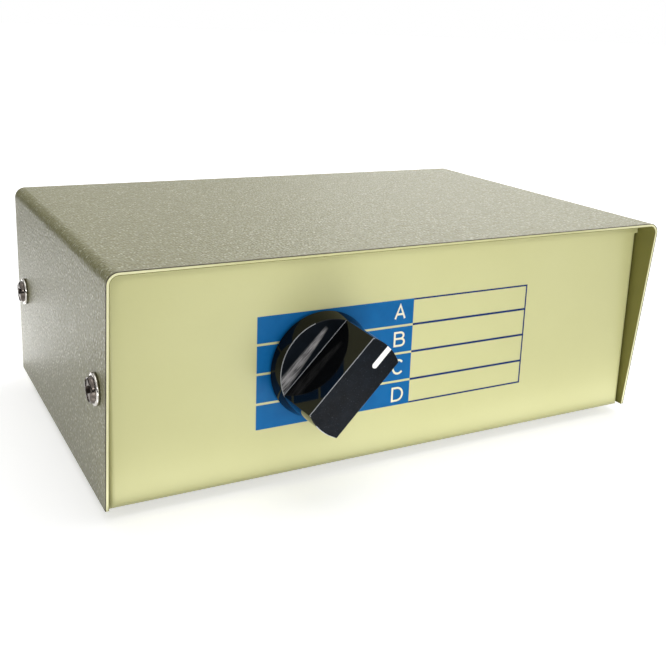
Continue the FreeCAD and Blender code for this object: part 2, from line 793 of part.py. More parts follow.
def make_detent_wheel():
    """A notched wheel with one lug that meets the stop pegs at both ends of its travel."""
    body = new_body("wheel_body")
    disc(body, "wheel_radius", "-(wheel_rear)", "-(collar_rear)")
    half_step = "step_angle / 2"
    notch = circle(f"wheel_radius * cos({half_step})", f"wheel_radius * sin({half_step})", "wheel_notch")
    cutter = pocket(body, "XY", [notch], "wheel_thickness + cut_past", "-(collar_rear)")
    repeat_round(body, cutter, "wheel_notch_count")
    lug = rectangle(("0", "-wheel_lug_width / 2"), ("wheel_lug_reach", "wheel_lug_width / 2"))
    pad(body, "XY", [lug], "wheel_thickness", "-(wheel_rear)")
    pierce(body, "XY", [blade_hole()])
    node("detent_wheel", body, ROTOR)


def rivet_eyes(radius, orbit):
    return [circle(f"{sign}{orbit}", "0", f"{radius} + rivet_play") for sign in ("-", "")]


def make_rotor():
    """Insulating hub with the brass contact blade on its shoulder, driven by the shaft's flats."""
    bore = "shaft_radius + fit_play"
    node("shaft_spacer", ring("spacer", bore, "spacer_radius", "-hub_front", "-(wheel_rear)"), ROTOR)

    hub = new_body("hub_body")
    disc(hub, "hub_radius", "-(contact_front)", "-hub_front")
    disc(hub, "hub_spigot - fit_play", "-hub_rear", "-(contact_front)")
    pierce(hub, "XY", [blade_hole()] + rivet_eyes("rotor_rivet_radius", "rotor_rivet_orbit"))
    node("rotor_hub", hub, ROTOR)

    blade = new_body("contact_blade_body")
    disc(blade, "contact_ring_radius", "-(contact_rear)", "-(contact_front)")
    half = "contact_lobe_width / 2"
    lobe = rectangle(("0", f"-{half}"), ("contact_lobe_reach", half))
    pad(blade, "XY", [lobe], "contact_sheet", "-(contact_rear)")
    pierce(blade, "XY", [circle("0", "0", "hub_spigot")])
    pierce(blade, "XY", rivet_eyes("rotor_rivet_radius", "rotor_rivet_orbit"))
    node("rotor_contact", blade, ROTOR)

    rivet = make_rivet("rotor_rivet", "rotor_rivet_radius", "-(contact_rear)", "-hub_front")
    places = [f"{ROTOR} * {at(f'{sign}rotor_rivet_orbit')}" for sign in ("-", "")]
    copies("rotor_rivets", rivet, places)


def make_rivet(name, radius, low, high):
    """A rivet along z that clamps from low to high."""
    head = f"{radius} + rivet_head"
    shank = rod(f"{name}_shank", radius, low, high)
    far = rod(f"{name}_far_head", head, f"{low} - rivet_head_height", low)
    near = rod(f"{name}_near_head", head, high, f"{high} + rivet_head_height")
    return fuse(name, shank, far, near)


# fixed pieces of the switch, in the switch frame


def make_bushing():
    body = new_body("bushing_body")
    bore = "shaft_radius + shaft_play"
    spigot = "bushing_spigot - fit_play"
    outline = [(bore, "-(stake_rear)"), (spigot, "-(stake_rear)"), (spigot, "-(plate_front)")]
    outline += [("bushing_radius", "-(plate_front)"), ("bushing_radius", "bushing_front")]
    revolve(body, outline + [(bore, "bushing_front")])
    node("switch_bushing", body, SWITCH)


def make_index_plate():
    """The switch's mounting plate, with locating peg, stop pegs and an ear for the detent spring."""
    body = new_body("index_body")
    x, y = "index_width / 2", "index_height / 2"
    pad(body, "XY", [rectangle((f"-{x}", f"-{y}"), (x, y))], "index_plate", "-(plate_rear)")
    mid = "-(plate_front + plate_rear) / 2"
    corners = [(f"{a}index_width / 2", f"{b}index_height / 2", mid) for a in ("-", "") for b in ("-", "")]
    dress(body, "Fillet", corners, "index_corner")
    pegs = []
    for sign in ("-", ""):
        peg_y = f"{sign}stop_peg_orbit * sin(stop_angle)"
        pegs.append(circle("stop_peg_orbit * cos(stop_angle)", peg_y, "stop_peg_radius"))
    pad(body, "XY", pegs, "wheel_rear - plate_rear", "-(wheel_rear)")
    locating = [circle("locating_peg_orbit", "0", "locating_peg_radius")]
    pad(body, "XY", locating, "plate_front - running_gap", "-(plate_front)")
    ear = rectangle((f"-{x}", "ear_low"), ("-(ear_inside)", "ear_high"))
    pad(body, "XY", [ear], "ear_reach + index_plate", "-(plate_rear + ear_reach)")
    screws = [circle("0", f"{sign}tie_orbit", "tie_radius + thread_play") for sign in ("-", "")]
    pierce(body, "XY", screws + [circle("0", "0", "bushing_spigot")])
    eyes = [circle(y, "-(wheel_mid)", "spring_rivet_radius + rivet_play") for y in SPRING_RIVETS]
    pocket(body, "YZ", eyes, "index_plate + 2 * cut_past", "cut_past - ear_inside")
    node("index_plate", body, SWITCH)


def make_detent_spring():
    """A leaf along the wheel's edge, riveted to the ear, with a folded nose in a notch."""
    body = new_body("spring_body")
    face = "-(ear_inside)"
    skin = "-(ear_inside - spring_sheet)"
    outside = [(face, "ear_high"), (face, "spring_nose_rise")]
    outside += [("-(spring_nose + spring_sheet)", "0"), (face, "-spring_nose_rise"), (face, "-spring_tail")]
    inside = [(skin, "-spring_tail"), (skin, "-spring_nose_rise"), ("-spring_nose", "0")]
    inside += [(skin, "spring_nose_rise"), (skin, "ear_high")]
    pad(body, "XY", [outside + inside], "spring_width", "-(wheel_mid + spring_width / 2)")
    eyes = [circle(y, "-(wheel_mid)", "spring_rivet_radius + rivet_play") for y in SPRING_RIVETS]
    pocket(body, "YZ", eyes, "spring_sheet + 2 * cut_past", "cut_past - ear_inside + spring_sheet")
    node("detent_spring", body, SWITCH)

    rivet = make_rivet("spring_rivet", "spring_rivet_radius", "-(index_width / 2)", skin)
    places = [f"{SWITCH} * {at('0', y, '-(wheel_mid)', (Y_AXIS, '90'))}" for y in SPRING_RIVETS]
    copies("detent_spring_rivets", rivet, places)


def make_panel_fasteners():
    """Toothed washer behind the front panel; plain washer and nut in front of it."""
    body = new_body("lock_washer_body")
    disc(body, "lock_washer_radius", "-(plate_front)", "-chassis_sheet")
    tooth = rectangle(("lock_washer_radius - lock_washer_tooth", "-lock_washer_tooth / 3"),
                      ("lock_washer_radius + cut_past", "lock_washer_tooth / 3"))
    cutter = pocket(body, "XY", [tooth], "lock_washer + cut_past", "-chassis_sheet")
    repeat_round(body, cutter, "lock_washer_tooth_count")
    pierce(body, "XY", [circle("0", "0", "bushing_radius + bushing_hole_play")])
    node("panel_lock_washer", body, SWITCH)

    hole = "bushing_radius + bushing_hole_play"
    washer = ring("panel_washer_ring", hole, "panel_washer_radius", "0", "panel_washer")
    node("panel_washer", washer, SWITCH)
    bore = "bushing_radius + thread_play"
    nut = hex_nut("panel_nut_hex", "panel_nut_flats", bore, "panel_washer", "panel_washer + panel_nut")
    node("panel_nut", nut, SWITCH)


def make_wafer():
    body = new_body("wafer_body")
    disc(body, "wafer_radius", "-(wafer_rear)", "-wafer_front")
    holes = [circle("0", "0", "wafer_hole")]
    holes += [circle("0", f"{sign}tie_orbit", "tie_radius + tie_play") for sign in ("-", "")]
    for line in LINES:
        angle = clip_angle(line)
        x, y = f"clip_rivet_orbit * cos({angle})", f"clip_rivet_orbit * sin({angle})"
        holes.append(circle(x, y, "clip_rivet_radius + rivet_play"))
    pierce(body, "XY", holes)
    node("wafer", body, SWITCH)


def make_clips():
    """Folded contact clips on the wafer's rear face; their jaws straddle the turning blade."""
    front, rear = "-(wafer_rear)", "-(clip_rear)"
    for line in LINES:
        tip = "common_tip" if line == "common" else "throw_tip"
        body = new_body(f"clip_{line}_body")
        base = [(tip, front), ("clip_reach", front), ("clip_reach", f"{front} - clip_sheet")]
        fold = [("clip_bend + clip_sheet", f"{front} - clip_sheet")]
        fold += [("clip_bend + clip_sheet", rear), (tip, rear)]
        jaw = [(tip, f"{rear} + clip_sheet"), ("clip_bend", f"{rear} + clip_sheet")]
        gap = [("clip_bend", f"{front} - clip_sheet"), (tip, f"{front} - clip_sheet")]
        pad(body, "XZ", [base + fold + jaw + gap], "clip_width", both=True)
        eyes = [circle("clip_rivet_orbit", "0", "clip_rivet_radius + rivet_play")]
        pierce(body, "XY", eyes + [circle("clip_eye_orbit", "0", "clip_eye_radius")])
        name = "common_clip" if line == "common" else f"throw_clip_{line}"
        node(name, body, f"{SWITCH} * {turned(clip_angle(line))}")

    rivet = make_rivet("clip_rivet", "clip_rivet_radius", f"{front} - clip_sheet", "-wafer_front")
    spot = at("clip_rivet_orbit")
    copies("clip_rivets", rivet, [f"{SWITCH} * {turned(clip_angle(line))} * {spot}" for line in LINES])


def make_ties():
    """Two screws from the rear through wafer and spacer tubes into the index plate."""
    places = [f"{SWITCH} * {at('0', f'{sign}tie_orbit')}" for sign in ("-", "")]
    spacer = ring("tie_spacer", "tie_radius + tie_play", "tie_spacer_radius", "-wafer_front", "-(plate_rear)")
    copies("tie_spacers", spacer, places)

    hole = "tie_radius + tie_play"
    washer = ring("tie_washer_ring", hole, "tie_head_radius", "-(tie_head)", "-(wafer_rear)")
    split = split_block("tie_washer_split", "tie_head_radius", "-(tie_head)", "-(wafer_rear)")
    copies("tie_lock_washers", cut("tie_washer_cut", washer, split), places)

    body = new_body("tie_screw_body")
    disc(body, "tie_radius", "-(tie_head)", "-(plate_front)")
    disc(body, "tie_head_radius", "-(tie_head + tie_head_height)", "-(tie_head)")
    far = "tie_head_radius + cut_past"
    slot = rectangle((f"-({far})", "-tie_slot / 2"), (far, "tie_slot / 2"))
    pocket(body, "XY", [slot], "tie_slot + cut_past", "-(tie_head + tie_head_height - tie_slot)")
    copies("tie_screws", body, places)


def split_block(name, radius, low, high):
    """The piece that opens a split washer along +x."""
    return block(
        name,
        ("0", "-washer_split / 2", f"{low} - cut_past"),
        (f"{radius} + cut_past", "washer_split / 2", f"{high} + cut_past"),
    )


# jacks, each in its own frame


def hexagon(flats):
    corner = f"{flats} / 2 / cos(30)"
    return [(f"{corner} * cos({60 * k})", f"{corner} * sin({60 * k})") for k in range(6)]


def make_jack_pieces(line):
    """One bulkhead jack: body with bayonet lugs, insulator and centre contact."""
    frame = jack_frame(line)
    body = new_body(f"jack_{line}_body")
    pad(body, "XY", [hexagon("jack_flange_flats")], "jack_flange")
    disc(body, "jack_shank_radius", "-jack_shank", "0")
    disc(body, "jack_barrel_radius", "jack_flange", "jack_reach - jack_nose")
    disc(body, "jack_nose_radius", "jack_reach - jack_nose", "jack_reach")
    dress(body, "Chamfer", [("0", "jack_nose_radius", "jack_reach")], "jack_mouth_bevel")
    pad(body, "YZ", [circle("0", "jack_lug", "jack_lug_radius")], "jack_lug_span", both=True)
    pierce(body, "XY", [circle("0", "0", "jack_core")])
    pocket(body, "XY", [circle("0", "0", "jack_bore")], "jack_bore_depth + cut_past", "jack_reach + cut_past")
    node(f"jack_body_{line}", body, frame)

    insulator = new_body(f"insulator_{line}_body")
    disc(insulator, "jack_core - fit_play", "-(jack_shank + insulator_tail)", "jack_seat")
    disc(insulator, "insulator_nose_radius", "jack_seat", "insulator_front")
    pierce(insulator, "XY", [circle("0", "0", "contact_radius + fit_play")])
    node(f"jack_insulator_{line}", insulator, frame)

    contact = new_body(f"contact_{line}_body")
    disc(contact, "contact_radius", "-(contact_end)", "socket_front")
    socket = [circle("0", "0", "contact_socket")]
    pocket(contact, "XY", socket, "contact_socket_depth + cut_past", "socket_front + cut_past")
    slots = [cross("contact_radius + cut_past", "contact_slot")]
    pocket(contact, "XY", slots, "contact_slot_depth + cut_past", "socket_front + cut_past")
    cup = [circle("0", "0", "cup_radius")]
    pocket(contact, "XY", cup, "cup_depth + cut_past", "cup_depth - (contact_end)")
    node(f"jack_contact_{line}", contact, frame)


def make_jack_fasteners():
    """Ground tag, lock washer and nut on the inside of the rear panel, one of each to a jack."""
    frames = [jack_frame(line) for line in LINES]
    hole = "jack_shank_radius + jack_hole_play"
    tag = new_body("tag_body")
    disc(tag, "tag_radius", "-(tag_rear)", "-chassis_sheet")
    half = "tag_width / 2"
    arm = rectangle((f"-{half}", "0"), (half, "tag_arm"))
    pad(tag, "XY", [arm], "tag_sheet", "-(tag_rear)")
    leaf = rectangle((f"-{half}", "tag_arm - tag_sheet"), (half, "tag_arm"))
    pad(tag, "XY", [leaf], "tag_eye_setback + tag_end - chassis_sheet", "-(tag_eye_setback + tag_end)")
    pierce(tag, "XY", [circle("0", "0", hole)])
    eye = [circle("0", "-tag_eye_setback", "tag_eye_radius")]
    pocket(tag, "XZ", eye, "tag_sheet + 2 * cut_past", "tag_sheet + cut_past - tag_arm")
    copies("jack_ground_tags", tag, frames)

    washer = ring("jack_washer_ring", hole, "jack_washer_radius", "-(washer_rear)", "-(tag_rear)")
    split = split_block("jack_washer_split", "jack_washer_radius", "-(washer_rear)", "-(tag_rear)")
    copies("jack_lock_washers", cut("jack_washer_cut", washer, split), frames)

    bore = "jack_shank_radius + thread_play"
    nut = hex_nut("jack_nut_hex", "jack_nut_flats", bore, "-(nut_rear)", "-(washer_rear)")
    copies("jack_nuts", nut, frames)


# wires


def path(points, bend):
    """Straight runs between the points, joined by tangent arcs of the bend's radius where it fits."""
    edges = []
    last = points[0]
    runs = [b.sub(a) for a, b in zip(points, points[1:])]
    ends = len(runs) - 1
    for index, point in enumerate(points[1:-1]):
        before, after = runs[index], runs[index + 1]
        half_turn = before.getAngle(after) / 2
        room = min(
            before.Length * (0.9 if index == 0 else 0.45),
            after.Length * (0.9 if index + 1 == ends else 0.45),
        )
        radius = min(bend, room / math.tan(half_turn))
        reach = radius * math.tan(half_turn)
        u, v = FreeCAD.Vector(before).normalize(), FreeCAD.Vector(after).normalize()
        enter, leave = point - u * reach, point + v * reach
        inward = (v - u).normalize()
        top = point + inward * (radius / math.cos(half_turn) - radius)
        edges.append(Part.LineSegment(last, enter).toShape())
        edges.append(Part.Arc(enter, top, leave).toShape())
        last = leave
    edges.append(Part.LineSegment(last, points[-1]).toShape())
    return Part.Wire(edges)


def tube(points, radius, bend):
    """A round wire along the path through the points."""
    line = path(points, bend)
    section = Part.Wire(Part.makeCircle(radius, points[0], points[1] - points[0]))
    solid = line.makePipeShell([section], True, False)
    wanted = math.pi * radius**2 * line.Length
    if abs(solid.Volume - wanted) > wanted / 100:
        raise ValueError("a wire's volume isn't its section times its length")
    return solid


def stub(start, end, radius):
    run = end.sub(start)
    return Part.makeCylinder(radius, run.Length, start, run)


def lead_ends(line):
    """Points along the clip's eye and along the jack's solder cup: wire tip, core, jacket, first bend."""
    clip = evaluate(f"{SWITCH} * {turned(clip_angle(line))} * {at('clip_eye_orbit')}")
    depths = ("wafer_rear - lead_through", "clip_core_start", "clip_jacket_start")
    clip_points = [clip.multVec(FreeCAD.Vector(0, 0, -number(depth))) for depth in depths]
    jack = evaluate(jack_frame(line))
    depths = ("cup_tip", "jack_core_start", "jack_jacket_start")
    jack_points = [jack.multVec(FreeCAD.Vector(0, 0, -number(depth))) for depth in depths]
    straight = FreeCAD.Vector(0, number("lead_straight"), 0)
    return clip_points + [clip_points[-1] + straight], jack_points + [jack_points[-1] - straight]


def make_lead(line):
    """A thin coaxial lead from a clip to its jack, stripped in two steps at both ends."""
    clip, jack = lead_ends(line)
    bend = number("lead_bend")
    solids = [tube([clip[2], clip[3], jack[3], jack[2]], number("lead_radius"), bend)]
    for end in (clip, jack):
        solids.append(stub(end[0], end[1], number("lead_wire_radius")))
        solids.append(stub(end[1], end[2], number("lead_core_radius")))
    lead = doc.addObject("Part::Feature", f"lead_{line}_solid")
    lead.Shape = solids[0].multiFuse(solids[1:]).removeSplitter()
    node(f"lead_{line}", lead)


def make_pigtails():
    """The screen of each lead, twisted and led to the ground tag's eye."""
    start = number("(lead_radius + lead_core_radius) / 2")
    low = -number("jack_jacket_start")
    eye = -number("tag_eye_setback")
    beside = -number("contact_end") - number("lead_in_cup")
    through = number("tag_arm + pigtail_through")
    near = number("tag_arm - 2 * pigtail_through")
    points = [(start, low), (start, beside), (near, eye), (through, eye)]
    wire = doc.addObject("Part::Feature", "pigtail_solid")
    corners = [FreeCAD.Vector(0, y, z) for y, z in points]
    wire.Shape = tube(corners, number("pigtail_radius"), number("pigtail_bend"))
    copies("shield_pigtails", wire, [jack_frame(line) for line in LINES])


def make_all():
    make_chassis()
    make_cover()
    make_feet()
    make_cover_screws()
    make_knob()
    make_shaft()
    make_retaining_ring("front_retaining_ring", "front_ring")
    make_retaining_ring("rear_retaining_ring", "-(rear_ring + ring_thickness)")
    make_detent_wheel()
    make_rotor()
    make_bushing()
    make_index_plate()
    make_detent_spring()
    make_panel_fasteners()
    make_wafer()
    make_clips()
    make_ties()
    for line in LINES:
        make_jack_pieces(line)
    make_jack_fasteners()
    for line in LINES:
        make_lead(line)
    make_pigtails()


def check_features():
    """Stops unless every feature is up to date, whole, and has added or cut material as it should."""
    for item in doc.Objects:
        if "Invalid" in item.State or "Error" in item.State:
            raise ValueError(f"{item.Label} failed: {item.State}")
        base = getattr(item, "BaseFeature", None)
        if item.TypeId == "PartDesign::Pocket" and base and item.Shape.Volume >= base.Shape.Volume:
            raise ValueError(f"{item.Label} cuts nothing")
        if item.TypeId == "PartDesign::Pad" and base and item.Shape.Volume <= base.Shape.Volume:
            raise ValueError(f"{item.Label} adds nothing")
    for item in nodes:
        if item.Shape.isNull() or not item.Shape.isValid() or not item.Shape.Solids:
            raise ValueError(f"{item.Label} has no valid solid")


make_all()
doc.recompute()
check_features()
os.makedirs("parts", exist_ok=True)
for item in nodes:
    item.Shape.exportStep(os.path.join("parts", f"{item.Label}.step"))
print(f"{len(nodes)} nodes, {sum(len(item.Shape.Solids) for item in nodes)} solids")
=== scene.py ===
"""Looks of the coaxial switch box: camera, light, materials, printed panel and the finer pieces."""

import bpy
import bmesh
import math
from mathutils import Matrix, Vector


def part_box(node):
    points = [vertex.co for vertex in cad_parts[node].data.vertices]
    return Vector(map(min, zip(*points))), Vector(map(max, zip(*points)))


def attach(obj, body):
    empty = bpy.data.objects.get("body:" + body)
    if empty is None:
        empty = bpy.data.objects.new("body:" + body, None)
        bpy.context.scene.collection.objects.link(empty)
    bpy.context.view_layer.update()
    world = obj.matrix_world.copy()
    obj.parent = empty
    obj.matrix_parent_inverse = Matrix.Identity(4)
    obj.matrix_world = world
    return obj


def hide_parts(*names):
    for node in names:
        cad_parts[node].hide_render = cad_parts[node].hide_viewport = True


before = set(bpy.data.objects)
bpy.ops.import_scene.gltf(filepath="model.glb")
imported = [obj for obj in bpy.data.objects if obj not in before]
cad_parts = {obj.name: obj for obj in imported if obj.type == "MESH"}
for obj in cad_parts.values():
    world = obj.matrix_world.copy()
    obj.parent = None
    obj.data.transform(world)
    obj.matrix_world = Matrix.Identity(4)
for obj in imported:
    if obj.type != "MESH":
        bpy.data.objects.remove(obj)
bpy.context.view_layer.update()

MM = 0.001


def middle(name):
    """The middle of a node's box."""
    low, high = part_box(name)
    return (low + high) / 2


def metres(pair):
    """Two lengths in millimetres, in metres."""
    return [length * MM for length in pair]


PANEL_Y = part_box("chassis")[0].y
PANEL_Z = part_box("chassis")[0].z
KNOB_AXIS = Vector((middle("panel_washer").x, PANEL_Y, middle("panel_washer").z))
POINTER_ANGLE = 46.0


# Materials

# the stretch of a noise's values that is spread out: nearly all of it, its middle or its upper part
NOISE_WIDE = (0.3, 0.7)
NOISE_MIDDLE = (0.35, 0.65)
NOISE_UPPER = (0.4, 0.7)
# where a Mix node keeps its two values, its two colours and the mixed colour
MIX_VALUE_A, MIX_VALUE_B, MIX_COLOUR_A, MIX_COLOUR_B = 2, 3, 6, 7
MIXED_COLOUR = 2


def linear(red, green, blue):
    """A colour given as 0 to 255 on a screen, for a shader."""
    parts = []
    for value in (red, green, blue):
        share = value / 255
        parts.append(share / 12.92 if share <= 0.04045 else ((share + 0.055) / 1.055) ** 2.4)
    return (*parts, 1.0)


class Finish:
    """A material whose nodes are added one by one to its Principled shader."""

    def __init__(self, name, **settings):
        self.material = bpy.data.materials.new(name)
        self.material.use_nodes = True
        self.tree = self.material.node_tree
        self.shader = self.tree.nodes["Principled BSDF"]
        self.place = self.add("ShaderNodeTexCoord").outputs["Object"]
        for socket, value in settings.items():
            self.shader.inputs[socket.replace("_", " ")].default_value = value

    def add(self, kind, **settings):
        item = self.tree.nodes.new(kind)
        for name, value in settings.items():
            setattr(item, name, value)
        return item

    def join(self, source, target):
        self.tree.links.new(source, target)

    def feed(self, value, socket):
        """Sets a socket to a plain value, or links a node's output to it."""
        if isinstance(value, (int, float, tuple)):
            socket.default_value = value
        else:
            self.join(value, socket)

    def coordinates(self):
        """The x, y and z of a point of the surface."""
        item = self.add("ShaderNodeSeparateXYZ")
        self.join(self.place, item.inputs[0])
        return item.outputs

    def noise(self, scale, detail=2.0, roughness=0.5, where=None):
        item = self.add("ShaderNodeTexNoise")
        item.inputs["Scale"].default_value = scale
        item.inputs["Detail"].default_value = detail
        item.inputs["Roughness"].default_value = roughness
        self.join(where or self.place, item.inputs["Vector"])
        return item.outputs["Fac"]

    def remap(self, value, low, high, out_low=0.0, out_high=1.0):
        item = self.add("ShaderNodeMapRange", clamp=True)
        limits = {"From Min": low, "From Max": high, "To Min": out_low, "To Max": out_high}
        for socket, limit in limits.items():
            item.inputs[socket].default_value = limit
        self.join(value, item.inputs["Value"])
        return item.outputs["Result"]

    def uneven(self, scale, detail, low, high):
        """A value that wanders between low and high over the surface."""
        return self.remap(self.noise(scale, detail), *NOISE_WIDE, low, high)

    def math(self, operation, first, second=None):
        item = self.add("ShaderNodeMath", operation=operation)
        self.feed(first, item.inputs[0])
        if second is not None:
            self.feed(second, item.inputs[1])
        return item.outputs[0]

    def times(self, first, second):
        return self.math("MULTIPLY", first, second)

    def mix(self, share, first, second):
        """The first colour where share is 0, the second where it is 1."""
        item = self.add("ShaderNodeMix", data_type="RGBA")
        self.join(share, item.inputs["Factor"])
        self.feed(first, item.inputs[MIX_COLOUR_A])
        self.feed(second, item.inputs[MIX_COLOUR_B])
        return item.outputs[MIXED_COLOUR]

    def mix_values(self, share, first, second):
        """The first value where share is 0, the second where it is 1."""
        item = self.add("ShaderNodeMix", data_type="FLOAT")
        self.join(share, item.inputs["Factor"])
        self.feed(first, item.inputs[MIX_VALUE_A])
        self.feed(second, item.inputs[MIX_VALUE_B])
        return item.outputs[0]

    def bump(self, height, distance, strength):
        item = self.add("ShaderNodeBump")
        item.inputs["Distance"].default_value = distance
        item.inputs["Strength"].default_value = strength
        self.join(height, item.inputs["Height"])
        self.join(item.outputs["Normal"], self.shader.inputs["Normal"])

    def colour(self, value):
        self.join(value, self.shader.inputs["Base Color"])

    def rough(self, value):
        self.join(value, self.shader.inputs["Roughness"])


CREAM = linear(207, 206, 151)
CREAM_DEEP = linear(203, 202, 146)


def cream_nodes(finish):
    """Colour, roughness and height of the smooth cream paint."""
    patches = finish.remap(finish.noise(scale=22.0, detail=3.0), *NOISE_MIDDLE)
    colour = finish.mix(patches, CREAM, CREAM_DEEP)
    peel = finish.noise(scale=700.0, detail=1.0)
    rough = finish.uneven(scale=60.0, detail=2.0, low=0.30, high=0.38)
    return colour, rough, peel


def cream_paint():
    finish = Finish("cream_paint", Specular_IOR_Level=0.4)
    colour, rough, peel = cream_nodes(finish)
    finish.colour(colour)
    finish.rough(rough)
    finish.bump(peel, distance=0.00004, strength=0.5)
    return finish.material


COVER_DARK = linear(117, 114, 78)
COVER_MIDDLE = linear(137, 134, 98)
COVER_LIGHT = linear(153, 150, 113)
# painted glints and painted shade of the stipple's bumps
COVER_GLINT = linear(230, 231, 208)
COVER_PIT_SHADE = linear(80, 75, 46)
COVER_RIM = linear(62, 56, 34)
COVER_EDGE = linear(234, 232, 188)
COVER_EDGE_DULL = linear(226, 224, 176)
COVER_EDGE_TOP_SHADE = linear(203, 201, 148)
# the darker olive inside the hood: painted shade
COVER_INSIDE_SHADE = linear(122, 119, 62)

# The cover's sheet in millimetres: the bend's outer radius, how far back the hood's front edge runs
# per millimetre of drop, and the depths under the outer face between which the olive coat, its dark
# border and the cut edge's paint end; past the last, the cut edge's inner border and the inside
# take a darker olive, which is painted shade
BEND = 3.0
HOOD_SLANT = 0.1
COAT_DEPTHS = (0.06, 0.02)
BORDER_DEPTHS = (0.25, 0.18)
EDGE_SHADE_DEPTHS = (0.78, 0.70)
# the dark rim of the olive coat along the front edge
RIM_WIDTHS = (0.20, 0.42)
RIM_STRENGTH = 0.85
# where the cut edge's paint turns from its darker top, painted shade, to its bright side, from the start
# of the bend
EDGE_TURN = (-30.0, -4.0)

# The stipple: its mottle and broad patches, grains per metre, the part of a grain's cell that its
# core and its dome fill, and for the dark pits, painted shade, and the light specks, painted glints,
# the chance above which a grain is one, with how strongly it shows
MOTTLE = (0.33, 0.67)
BROAD_STRENGTH = 0.3
GRAIN_SCALE = 1300.0
GRAIN_CORE = (0.18, 0.50)
GRAIN_DOME = (0.0, 0.6)
DOME_HEIGHT = 0.6
PIT_SHADE_CHANCE = (0.70, 0.95)
PIT_SHADE_STRENGTH = 0.6
GLINT_CHANCE = (0.52, 0.96)
GLINT_STRENGTH = 0.75
# how much of the cream paint's peel the cut edges keep beside the stipple
EDGE_PEEL = 0.1


def stipple_nodes(finish):
    """Colour and height of the stippled olive paint, mottled, with dark pits of painted shade and light
    specks of painted glints.
    """
    mottle = finish.remap(finish.noise(scale=1600.0, detail=3.0, roughness=0.65), *MOTTLE)
    broad = finish.remap(finish.noise(scale=40.0, detail=2.0), *NOISE_MIDDLE)
    olive = finish.mix(mottle, COVER_DARK, COVER_LIGHT)
    olive = finish.mix(finish.times(broad, BROAD_STRENGTH), olive, COVER_MIDDLE)
    grain = finish.add("ShaderNodeTexVoronoi")
    grain.inputs["Scale"].default_value = GRAIN_SCALE
    finish.join(finish.place, grain.inputs["Vector"])
    chance = finish.add("ShaderNodeSeparateColor")
    finish.join(grain.outputs["Color"], chance.inputs[0])
    core = finish.remap(grain.outputs["Distance"], *GRAIN_CORE, 1.0, 0.0)
    # dark pits are painted shade, light specks are painted glints
    pit_shade = finish.times(core, finish.remap(chance.outputs[1], *PIT_SHADE_CHANCE))
    olive = finish.mix(finish.times(pit_shade, PIT_SHADE_STRENGTH), olive, COVER_PIT_SHADE)
    glints = finish.times(core, finish.remap(chance.outputs[0], *GLINT_CHANCE))
    olive = finish.mix(finish.times(glints, GLINT_STRENGTH), olive, COVER_GLINT)
    domes = finish.remap(grain.outputs["Distance"], *GRAIN_DOME, 1.0, 0.0)
    lumps = finish.noise(scale=1300.0, detail=2.0, roughness=0.55)
    return olive, finish.math("ADD", lumps, finish.times(domes, DOME_HEIGHT))


def cover_paint():
    """Stippled olive paint outside, smooth cream on the cut edges, darker along the top as painted shade,
    and smooth olive inside, darkened as painted shade.
    """
    finish = Finish("cover_paint", Specular_IOR_Level=0.35)
    low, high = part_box("top_cover")
    bend = BEND * MM
    x, y, z = finish.coordinates()
    side = finish.math("SUBTRACT", finish.math("ABSOLUTE", x), high.x - bend)
    rise = finish.math("SUBTRACT", z, high.z - bend)
    past_side = finish.math("POWER", finish.math("MAXIMUM", side, 0.0), 2.0)
    past_top = finish.math("POWER", finish.math("MAXIMUM", rise, 0.0), 2.0)
    reach = finish.math("SQRT", finish.math("ADD", past_side, past_top))

    def below_face(depths, *ends):
        """Turns over between two depths under the outer face."""
        return finish.remap(reach, *(bend - depth for depth in metres(depths)), *ends)

    outside = below_face(COAT_DEPTHS)
    border = below_face(BORDER_DEPTHS)
    inside = below_face(EDGE_SHADE_DEPTHS, 1.0, 0.0)

    olive, stipple = stipple_nodes(finish)
    drop = finish.math("MAXIMUM", finish.times(rise, -1.0), 0.0)
    front = finish.math("SUBTRACT", finish.math("ADD", y, -low.y), finish.times(drop, HOOD_SLANT))
    rim = finish.remap(front, *metres(RIM_WIDTHS), 1.0, 0.0)
    olive = finish.mix(finish.times(rim, RIM_STRENGTH), olive, COVER_RIM)

    edge = finish.mix(finish.noise(scale=90.0, detail=3.0), COVER_EDGE, COVER_EDGE_DULL)
    # the cut edge is painted darker along the top: painted shade
    edge = finish.mix(finish.remap(side, *metres(EDGE_TURN)), COVER_EDGE_TOP_SHADE, edge)
    # the inside and the cut edge's inner border take the darker olive: painted shade
    edge = finish.mix(inside, edge, COVER_INSIDE_SHADE)
    edge = finish.mix(border, edge, COVER_RIM)
    finish.colour(finish.mix(outside, edge, olive))

    _, cream_rough, peel = cream_nodes(finish)
    olive_rough = finish.uneven(scale=1100.0, detail=2.0, low=0.30, high=0.44)
    finish.rough(finish.mix_values(outside, cream_rough, olive_rough))
    height = finish.mix_values(outside, finish.times(peel, EDGE_PEEL), stipple)
    finish.bump(height, distance=0.00020, strength=1.0)
    return finish.material


KNOB_SLATE = linear(6, 10, 14)
KNOB_SLATE_LIGHT = linear(14, 20, 27)
SPARKLE_GREY = linear(70, 76, 84)
# the light grey of the streak beside the grip bar: a painted highlight
STREAK_HIGHLIGHT_GREY = linear(176, 174, 174)

SLATE_ROUGH, STREAK_ROUGH = 0.34, 0.5
SPARKLES = (0.66, 0.76)
SPARKLE_STRENGTH = 0.5

# The streak on the knob's ledge, a painted highlight, in millimetres: its two ends along the bar, its
# middle line and half width at those ends, and the stretch over which it fades out at the narrow end
STREAK_ENDS = (-10.5, 8.0)
STREAK_MIDDLE = (7.2, 8.3)
STREAK_HALF_WIDTH = (1.9, 0.55)
STREAK_FADE = (5.5, 7.5)
# where its border starts and stops, as shares of the half width, and the fibres drawn out along the bar
STREAK_BORDER = (0.55, 1.1)
FIBRES = (0.35, 0.68)
FIBRES_FAINTEST = 0.15
FIBRE_SQUEEZE = (0.12, 1.0, 1.0)


